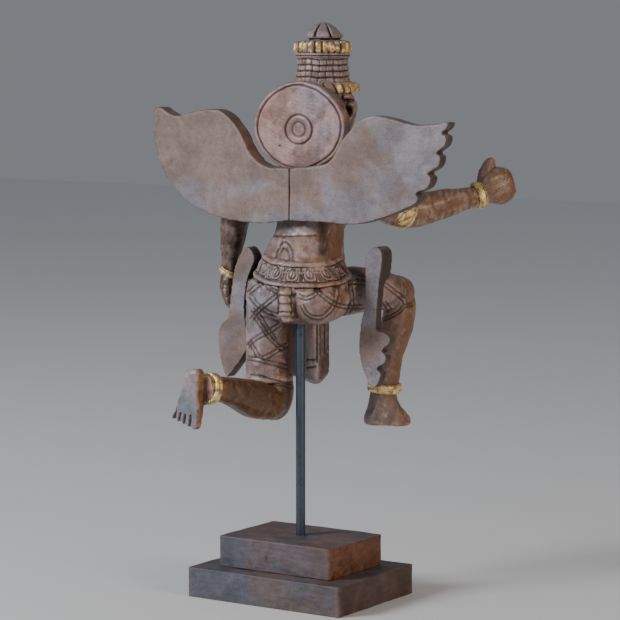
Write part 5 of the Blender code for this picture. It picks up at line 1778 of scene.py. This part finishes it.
@dataclass
class Dress(Assembly):
    """The hips, both thighs, the tail piece and the front panel, with their carved cloth.

    Attributes:
        step: the height of a step of the tail piece.
        top_step: where its highest step begins, in the picture.
        pair: half the space between the two lines of a pair in the hidden cloth.
    """

    step: float = 8.5
    top_step: float = 24.0
    pair: float = 1.9

    def lower(self) -> None:
        """Make the hips and thighs with their paired lines."""
        piece = Carving("hips", 1.13, relax=6)
        piece.add(loft(HIPS, level=True, columns=64), loft(LEFT_THIGH, columns=48))
        piece.add(loft(RIGHT_THIGH, columns=48))
        piece.add(egg((27.0, 16.0, 153.0), (28.0, 24.0, 27.0)))
        piece.add(egg((-27.0, 14.0, 153.0), (30.0, 26.0, 28.0)))
        piece.add(loft(TAIL, square=4.0))
        piece.add(hoop((40.5, 0.0, 61.0), (0.05, 0.0, 1.0), 24.0, 24.0, 1.4, 3.4))
        piece.add(hoop((-46.5, -113.0, 143.0), (-0.3, -0.75, 0.6), 17.5, 18.8, 1.0, 2.6))
        piece.fuse()
        self.under_belt(piece)
        self.tail_piece(piece)
        carve_strokes(piece, CLOTH_LINES)
        carve_strokes(piece, KNEE_LINES)
        self.lattice(piece)
        roughen(piece, 12.0, 0.22, 91)
        piece.finish(self.palette.carved)

    def under_belt(self, piece: Carving) -> None:
        """Draw the hips in where the belt goes round them."""
        belt = Belt(self.palette)
        axis, across, ahead = belt.axes()
        rel = piece.points - np.asarray(belt.centre)
        up = rel @ axis
        spot = np.stack((rel @ across / 45.5, rel @ ahead / 42.5), axis=1)
        reach = np.linalg.norm(spot, axis=1)
        share = ease(-15.0, -11.0, up) * ease(1.0, 1.04, reach)
        near = np.abs(piece.points[:, 0]) < 62.0
        near = near * (piece.points[:, 1] > -60.0)
        drawn = share * near * (1.0 - 1.0 / np.maximum(reach, 1.0))
        piece.points = piece.points - (rel - up[:, None] * axis) * drawn[:, None]

    def tail_piece(self, piece: Carving) -> None:
        """Raise the tail piece: four steps, each swelling towards its foot, with painted shade at each
        foot and along its edges.
        """
        spots = DRAWING.spots(piece.points)
        across, up = spots[:, 0], spots[:, 1]
        inside = ease(-32.4, -31.4, across) * ease(-16.0, -17.0, across)
        inside = inside * ease(-6.5, -5.0, up) * Drawing.seen(piece.normals())
        inside = inside * ease(33.5, 31.0, up)
        tread = (self.top_step - up) / self.step
        swell = clamp(tread - np.floor(tread))
        middle = ease(-16.5, -20.0, across)
        raised = inside * (1.6 + 1.5 * swell * middle)
        foot = line_depth((tread - np.round(tread)) * self.step, 1.0, 0.8)
        foot = foot * inside * middle * (up > -4.0)
        edge = line_depth(across + 33.0, 1.2, 0.7) * (up < 31.0) * (up > -5.0)
        edge = edge + line_depth(across + 20.8, 1.2, 0.6) * inside
        piece.cut(foot + edge - raised, clamp(foot + edge * 0.8))

    def lattice(self, piece: Carving) -> None:
        """Cut crossing pairs of lines where the cloth can't be seen in the photograph, with painted
        shade in them.
        """
        p = piece.points
        hidden = 1.0 - Drawing.seen(piece.normals())
        thigh = ease(128.0, 118.0, p[:, 2]) * (p[:, 0] > 8.0)
        depth = np.zeros(len(p))
        for way in ((-0.75, 0.05, 1.0), (0.66, 0.05, 1.0)):
            gap = np.abs(plane_lines(p, way, 20.0, 84.0) - self.pair)
            depth = np.maximum(depth, line_depth(gap, 1.1, 0.8) * thigh)
        start, end = np.array(RIGHT_THIGH[0][:3]), np.array(RIGHT_THIGH[-1][:3])
        along = (p - start) @ unit(end - start)
        turn = p[:, 2] * 0.5 + p[:, 0] * 0.35
        knee = (along > 30.0) * (along < 108.0) * (p[:, 1] < -30.0) * (p[:, 2] > 118.0)
        for slope in (0.55, -0.55):
            gap = np.abs(mid_gap(along + slope * turn, 20.0) - self.pair)
            depth = np.maximum(depth, line_depth(gap, 1.1, 0.8) * knee)
        rear = (p[:, 1] > -28.0) * ease(118.0, 128.0, p[:, 2])
        for slope in (0.8, -0.8):
            gap = np.abs(plane_lines(p, (slope, 0.2, 1.0), 22.0, 140.0) - self.pair)
            depth = np.maximum(depth, line_depth(gap, 1.0, 0.8) * rear)
        depth = depth * hidden
        piece.cut(depth, clamp(depth / 0.9))

    def panel(self) -> None:
        """Make the front panel: a flat part and a fluted part."""
        piece = Carving("front_panel", 1.15)
        piece.add(loft(FRONT_PANEL, square=5.0, columns=56))
        for k in range(4):
            fold = ((5.5 + 9.5 * k, -58.5, 66.0, 3.0, 3.2), (5.2 + 9.0 * k, -58.0, 110.0, 2.8, 3.0),
                    (5.0 + 8.5 * k, -56.5, 150.0, 2.4, 2.6))
            piece.add(loft(fold, columns=24))
        piece.fuse()
        carve_strokes(piece, PANEL_LINES)
        p = piece.points
        front = ease(-0.1, -0.5, piece.normals()[:, 1])
        flutes = line_depth(mid_gap(p[:, 0], 7.6), 1.2, 0.9) * front
        steps = line_depth(plane_lines(p, (0.25, 0, 1), 26.0, 66.0), 1.0, 0.8) * front
        # Painted shade in the flutes and steps
        piece.cut(flutes + steps, clamp(flutes + steps) * 0.9)
        # Painted light on faces that look back, carried by the dust mark, none in the cuts
        piece.dust = ease(0.1, 0.7, piece.normals()[:, 1]) * (1.0 - piece.painted_shade)
        roughen(piece, 9.0, 0.18, 93)
        piece.finish(self.palette.carved)

    def build(self) -> None:
        """Build the dress."""
        self.lower()
        self.panel()


TOE_GAPS = (
    ((-142.3, -102.3), (-144.4, -120.5)), ((-137.4, -108.5), (-139.8, -123.1)),
    ((-132.4, -110.5), (-134.9, -126.7)), ((-126.8, -110.5), (-128.6, -129.7)),
)
ANKLETS = (
    Band("left_anklet", (49.6, 95.5, 60), (0.2, 0.95, 0.2), 13.4, 14.4, 2.6, 2.6),
    Band("right_anklet", (-35.5, -111.8, 44.5), (-0.1, 0, 1), 15.6, 16, 3, 3),
)


@dataclass
class LowerLegs(Assembly):
    """The left knee, calf and raised foot, and the right shin and planted foot."""

    @staticmethod
    def toes(left: bool) -> list[Shell]:
        """Give the five toes of one foot, the big toe on its inner side."""
        made = []
        for k in range(5):
            share = k / 4.0
            thick = 4.8 - 1.5 * share
            if left:
                root = (57.5 + 21.5 * share, 109.0, 31.0 + 6.0 * share, thick, 4.8)
                tip = (57.0 + 26.5 * share, 110.6, 20.5 + 9.5 * share, thick * 0.92, 4.4)
                rows = ((tip[0], tip[1], tip[2] - 2.4, 2.2, 2.2), tip, root)
            else:
                root = (-31.0 - 17.0 * share, -136.0 + 8.0 * share, 5.0, thick, 4.8)
                tip = (-35.0 - 16.0 * share, -145.0 + 12.0 * share, 4.2, thick * 0.92, 4.0)
                rows = (root, tip, (tip[0] - 0.9, tip[1] - 2.0, 3.8, 2.0, 2.0))
            made.append(loft(rows, columns=20))
        return made

    def left(self) -> None:
        """Make the left lower leg."""
        piece = Carving("left_leg", 1.13, relax=6)
        piece.add(loft(LEFT_KNEE, columns=40), loft(LEFT_CALF, columns=26, square=2.5))
        piece.add(loft(LEFT_FOOT, square=5.5), *self.toes(True))
        piece.fuse()
        carve_strokes(piece, (
            Stroke(KNEE_CREASE, twin=0.0, depth=1.0),
            Stroke(((-60.5, -72), (-39.5, -77.5), (-18, -82.5)), twin=0.0, depth=1.3),
            *(Stroke(gap, twin=0.0, depth=2.4, width=0.9) for gap in TOE_GAPS),
        ))
        roughen(piece, 16.0, 0.22, 97)
        # Dust and a painted bluish sheen on the sole, which looks back
        sole = ease(0.55, 0.9, piece.normals()[:, 1])
        sole = sole * ease(104.0, 108.0, piece.points[:, 1])
        piece.dust = sole * (piece.points[:, 2] < 84.0)
        # The leg is painted darker except at the foot
        calf = ease(96.0, 84.0, piece.points[:, 1])
        piece.painted_shade = np.maximum(piece.painted_shade, 0.38 * calf)
        piece.finish(self.palette.limbs)

    def right(self) -> None:
        """Make the right lower leg, its heel a little raised."""
        piece = Carving("right_leg", 1.13, relax=6)
        piece.add(loft(RIGHT_KNEE, columns=40), loft(RIGHT_SHIN, columns=24, square=2.5))
        piece.add(loft(RIGHT_FOOT, side=RIGHT_FOOT_SIDE, columns=36, square=2.9, level=True))
        piece.add(*self.toes(False))
        piece.fuse()
        low = ease(22.0, 6.0, piece.points[:, 2])
        heel = ease(-128.0, -96.0, piece.points[:, 1])
        piece.points[:, 2] += low * heel * 3.4
        carve_strokes(piece, KNEE_LINES)
        # Dust and painted sheen on the foot's low faces that look back
        rear = ease(0.0, 0.6, piece.normals()[:, 1])
        piece.dust = 0.5 * ease(40.0, 30.0, piece.points[:, 2]) * rear
        roughen(piece, 16.0, 0.22, 99)
        piece.finish(self.palette.limbs)

    def anklets(self) -> None:
        """Make the gilt anklets, each of two ridges."""
        for band in ANKLETS:
            axis = unit(np.asarray(band.along, dtype=float))
            gold = Carving(band.name, 0.74, relax=1)
            for shift in (-0.8 * band.thick, 0.8 * band.thick):
                ridge = tuple(np.asarray(band.centre) + axis * shift)
                gold.add(hoop(ridge, band.along, band.wide, band.deep, band.thick, band.tall,
                              columns=110))
            gold.fuse()
            roughen(gold, 3.0, 0.15, 101)
            gold.finish(self.palette.gilt)

    def build(self) -> None:
        """Build the lower legs."""
        self.left()
        self.right()
        self.anklets()


# Outlines of the boards: x, z and "s" for a smooth point or "c" for a corner. The wings count
# x outwards from the seam
LEFT_WING = (
    (0, 288, "c"), (30, 288.5, "s"), (52, 301, "s"), (72, 330, "s"), (98, 347, "s"),
    (130, 345, "s"), (159, 340, "s"), (182, 349, "s"), (190, 346, "c"), (188.5, 334, "c"),
    (192, 328, "s"), (187, 303, "c"), (180, 288, "c"), (174, 277, "s"), (161, 262, "s"),
    (136, 244, "s"), (93, 232, "s"), (50, 228, "s"), (22, 230, "s"), (0, 233.5, "c"),
)
RIGHT_WING = (
    (0, 288, "c"), (37, 292, "s"), (50, 299, "s"), (64, 320, "s"), (81, 338, "s"), (98, 344, "s"),
    (117, 342, "s"), (145, 336, "s"), (172, 337, "s"), (184, 339, "s"), (182.5, 333, "s"),
    (174.5, 327, "c"), (181.5, 324.5, "s"), (180, 315, "s"), (169.5, 307.5, "c"),
    (175.5, 303.5, "s"), (172.5, 293.5, "s"), (159.5, 286.5, "c"), (165, 281.5, "s"),
    (160.5, 271.5, "s"), (146.5, 265.5, "c"), (151.5, 261, "s"), (146, 254.5, "s"),
    (136, 249.5, "s"), (111, 240, "s"), (81, 232, "s"), (40, 232.5, "s"), (0, 233, "c"),
)
LEFT_SASH = (
    (54, 200, "s"), (60, 202, "s"), (68, 194, "s"), (75, 178, "s"), (79, 158, "s"),
    (81.5, 138, "s"), (84.5, 124, "c"), (92.5, 118, "s"), (96.5, 106, "s"), (95.5, 88, "s"),
    (91, 70, "s"), (86, 60, "c"), (77, 69, "s"), (64, 85, "s"), (58, 98, "s"), (60, 114, "s"),
    (62.5, 140, "s"), (58, 168, "s"), (49, 189, "s"),
)
RIGHT_SASH = (
    (-69, 203, "s"), (-78, 204.5, "s"), (-83, 195, "s"), (-79, 165, "s"), (-75, 122, "s"),
    (-80, 116.5, "s"), (-89, 113.5, "s"), (-93, 106, "s"), (-81.5, 95, "c"), (-87.5, 91, "s"),
    (-86.5, 83.5, "s"), (-75.5, 76, "c"), (-81.5, 71, "s"), (-78.5, 61, "s"), (-72, 55.5, "s"),
    (-65, 62, "s"), (-57, 82, "s"), (-54, 102, "s"), (-56.5, 124, "s"), (-61.5, 142, "s"),
    (-62, 170, "s"), (-62, 192, "s"),
)


@dataclass(frozen=True)
class Sash:
    """One hanging end of the dress.

    Attributes:
        name: the piece's name.
        node: the solid that it stands for.
        outline: its outline.
        back: the y of its back.
        thick: its thickness.
        lean: how far its flutes lean.
        step: how far its front's upper end steps forwards and its lower end back.
        seed: seed of its unevenness.
    """

    name: str
    node: str
    outline: Outline
    back: float
    thick: float
    lean: float
    step: tuple[float, float]
    seed: int


SASHES = (
    Sash("left_band", "left_sash", LEFT_SASH, 15.0, 14.0, 0.12, (0.0, 0.0), 121),
    Sash("right_band", "right_sash", RIGHT_SASH, -30.0, 15.0, -0.1, (6.0, 3.0), 123),
)


@dataclass
class Boards(Assembly):
    """The wings and the two side bands of the dress: flat backs and carved fronts.

    Attributes:
        wing_back: the y of the wings' backs at the seam.
        wing_sweep: how far the wings turn forwards from the seam.
        wing_thickness: their thickness.
        seam: half the gap between them.
        row: the height of a row of feather scales.
        scales: how far from the root the scales reach.
    """

    wing_back: float = 22.0
    wing_sweep: float = math.radians(5.1)
    wing_thickness: float = 16.5
    seam: float = 0.15
    row: float = 13.0
    scales: float = 65.0

    def wing(self, name: str, node: str, outline: Outline, sign: float) -> None:
        """Make one wing and carve rows of feathers on its front.

        Args:
            name: the piece's name.
            node: the solid that it stands for.
            outline: its outline.
            sign: 1 for the left wing and -1 for the right one.
        """
        angle = -sign * self.wing_sweep
        c, s = math.cos(angle), math.sin(angle)
        turn = np.array(((c, -s, 0.0), (s, c, 0.0), (0.0, 0.0, 1.0)))
        seam = np.array((sign * self.seam, self.wing_back, 0.0))
        flat = closed_curve([(sign * x, z, kind) for x, z, kind in outline], 8)
        piece = Carving(name, 1.45, relax=3, edge=0.7)
        piece.add(plank(flat, self.wing_thickness, lambda p: p @ turn.T + seam))
        piece.fuse()
        local = (piece.points - seam) @ turn
        front = ease(0.2, 0.7, -(piece.normals() @ turn)[:, 1])
        depth, shade = self.feathers(sign * local[:, 0], local[:, 2])
        piece.cut(depth * front, shade * front)
        rear = 1.0 - front
        swell = ripple(piece.points, 60.0, 111) * 0.35
        piece.cut(swell * rear + ripple(piece.points, 9.0, 113) * 0.08)
        piece.points[:, 0] = sign * np.maximum(sign * piece.points[:, 0], self.seam)
        piece.finish(self.palette.sawn, node)

    def feathers(self, across: Array, up: Array) -> tuple[Array, Array]:
        """Give the depth and the painted shade of a wing's front.

        Feathers fan from a root at the shoulder: the turn about it is split into long
        feathers, and the reach into rows of short scales nearest the root.

        Args:
            across: how far out from the seam each point lies.
            up: how high it lies.

        Returns:
            Depth and painted shade of each point.
        """
        x, z = across - 22.0, up - 262.0
        reach = np.hypot(x, z)
        turn = np.arctan2(z, x)
        row = np.floor(reach / self.row)
        scales = reach < self.scales
        fan = turn * np.where(scales, 3.0 + row * 1.5, 5.5)
        fan = fan + np.where(scales, 0.5 * (row % 2.0), 0.0)
        u = mid_gap(fan) * 2.0
        v = reach / self.row - row
        scale = clamp(1.0 - (u ** 2 * 0.8 + (1.0 - v) ** 2 * 0.25))
        edge = np.exp(-(((u ** 2 * 0.5 + v - 1.0) / 0.1) ** 2))
        barbs = mid_gap(reach * 0.22 + (u - 0.5) * 2.5) * 2.0
        quill = np.exp(-(((1.0 - u) / 0.08) ** 2))
        split = np.exp(-((u / 0.07) ** 2))
        long_ones = split * 2.2 + barbs * 0.35 - quill * 0.5
        depth = np.where(scales, 1.6 * (1.0 - scale) + edge * 1.1, long_ones)
        shade = np.where(scales, edge * 0.9, split + 0.25 * (barbs > 0.8))
        rim = 0.6
        return depth + rim, clamp(shade)

    def sash(self, made: Sash) -> None:
        """Make one side band, fluted on its front."""
        piece = Carving(made.name, 1.25, relax=3, edge=0.6)
        flat = closed_curve(made.outline, 8)
        piece.add(plank(flat, made.thick, lambda p: p + np.array((0.0, made.back, 0.0))))
        piece.fuse()
        high = piece.points[:, 2]
        ahead = ease(made.back - 2.0, made.back - made.thick, piece.points[:, 1])
        upper = made.step[0] * ease(168.0, 173.0, high)
        piece.points[:, 1] -= ahead * (upper - made.step[1] * ease(170.0, 164.0, high))
        p = piece.points
        front = ease(0.2, 0.7, -piece.normals()[:, 1])
        across = p[:, 0] - made.lean * (150.0 - p[:, 2])
        flutes = line_depth(mid_gap(across, 6.0), 1.2, 0.8) * front
        cross = line_depth(plane_lines(p, (0.2, 0.0, 1.0), 38.0, 100.0), 0.9, 0.8) * front
        # Painted shade in the flutes and cross lines
        piece.cut(flutes + cross, clamp(flutes + cross) * 0.8)
        piece.cut(ripple(p, 30.0, made.seed) * 0.22)
        piece.finish(self.palette.sawn, made.node)

    def build(self) -> None:
        """Build the boards."""
        self.wing("left_wing_board", "left_wing", LEFT_WING, 1.0)
        self.wing("right_wing_board", "right_wing", RIGHT_WING, -1.0)
        for sash in SASHES:
            self.sash(sash)


@dataclass
class Studio:
    """The pale floor, the lights and the photograph's camera.

    Attributes:
        reach: half the floor's size, in metres.
        aim: what the lamps point at.
        sky: the strength of the light from all round.
    """

    reach: float = 6.0
    aim: Row = (0.0, 0.0, 0.35)
    sky: float = 0.25

    def floor(self) -> None:
        """Lay a pale floor."""
        mesh = bpy.data.meshes.new("floor")
        signs = ((-1, -1), (1, -1), (1, 1), (-1, 1))
        corners = [(x * self.reach, y * self.reach, 0.0) for x, y in signs]
        mesh.from_pydata(corners, [], [(0, 1, 2, 3)])
        floor = show(bpy.data.objects.new("floor", mesh))
        s = Sheet("pale_floor")
        s.shader.inputs["Base Color"].default_value = (0.86, 0.86, 0.87, 1.0)
        s.shader.inputs["Roughness"].default_value = 0.7
        mesh.materials.append(s.material)

    def light(self, name: str, place: Row, size: float, power: float, colour: Colour) -> None:
        """Hang one soft lamp, its size in metres and its power in watts."""
        lamp = bpy.data.lights.new(name, "AREA")
        lamp.size = size
        lamp.energy = power
        lamp.color = colour
        hung = show(bpy.data.objects.new(name, lamp))
        hung.location = place
        toward = Vector(self.aim) - Vector(place)
        hung.rotation_euler = toward.to_track_quat("-Z", "Y").to_euler()

    def camera(self) -> None:
        """Stand the camera where the photograph was taken from."""
        lens = bpy.data.cameras.new("photo_camera")
        lens.sensor_width = SENSOR_MM
        lens.lens = FOCAL_PIXELS / FRAME_PIXELS * SENSOR_MM
        stand = show(bpy.data.objects.new("photo_camera", lens))
        columns = (*CAMERA_RIGHT, 0.0), (*CAMERA_UP, 0.0), (*CAMERA_BACK, 0.0), (*CAMERA_PLACE, 1.0)
        stand.matrix_world = Matrix(columns).transposed()
        bpy.context.scene.camera = stand

    def build(self) -> None:
        """Set the stage."""
        self.floor()
        self.light("key", (1.7, 2.5, 1.9), 1.1, 88.0, (0.92, 0.96, 1.0))
        self.light("side", (-2.6, 0.4, 1.0), 0.9, 25.0, (1.0, 0.8, 0.58))
        world = bpy.data.worlds.new("soft_sky")
        world.use_nodes = True
        glow = world.node_tree.nodes["Background"]
        glow.inputs["Color"].default_value = (0.8, 0.84, 0.9, 1.0)
        glow.inputs["Strength"].default_value = self.sky
        bpy.context.scene.world = world
        self.camera()


def main() -> None:
    """Build the statue and its stage."""
    logging.basicConfig(level=logging.INFO)
    palette = make_palette()
    for part in (Base, Crown, Disc, Head, Upper, Belt, Dress, LowerLegs, Boards):
        part(palette).build()
        LOG.info("built %s", part.__name__)
    Studio().build()


if __name__ == "__main__":
    main()
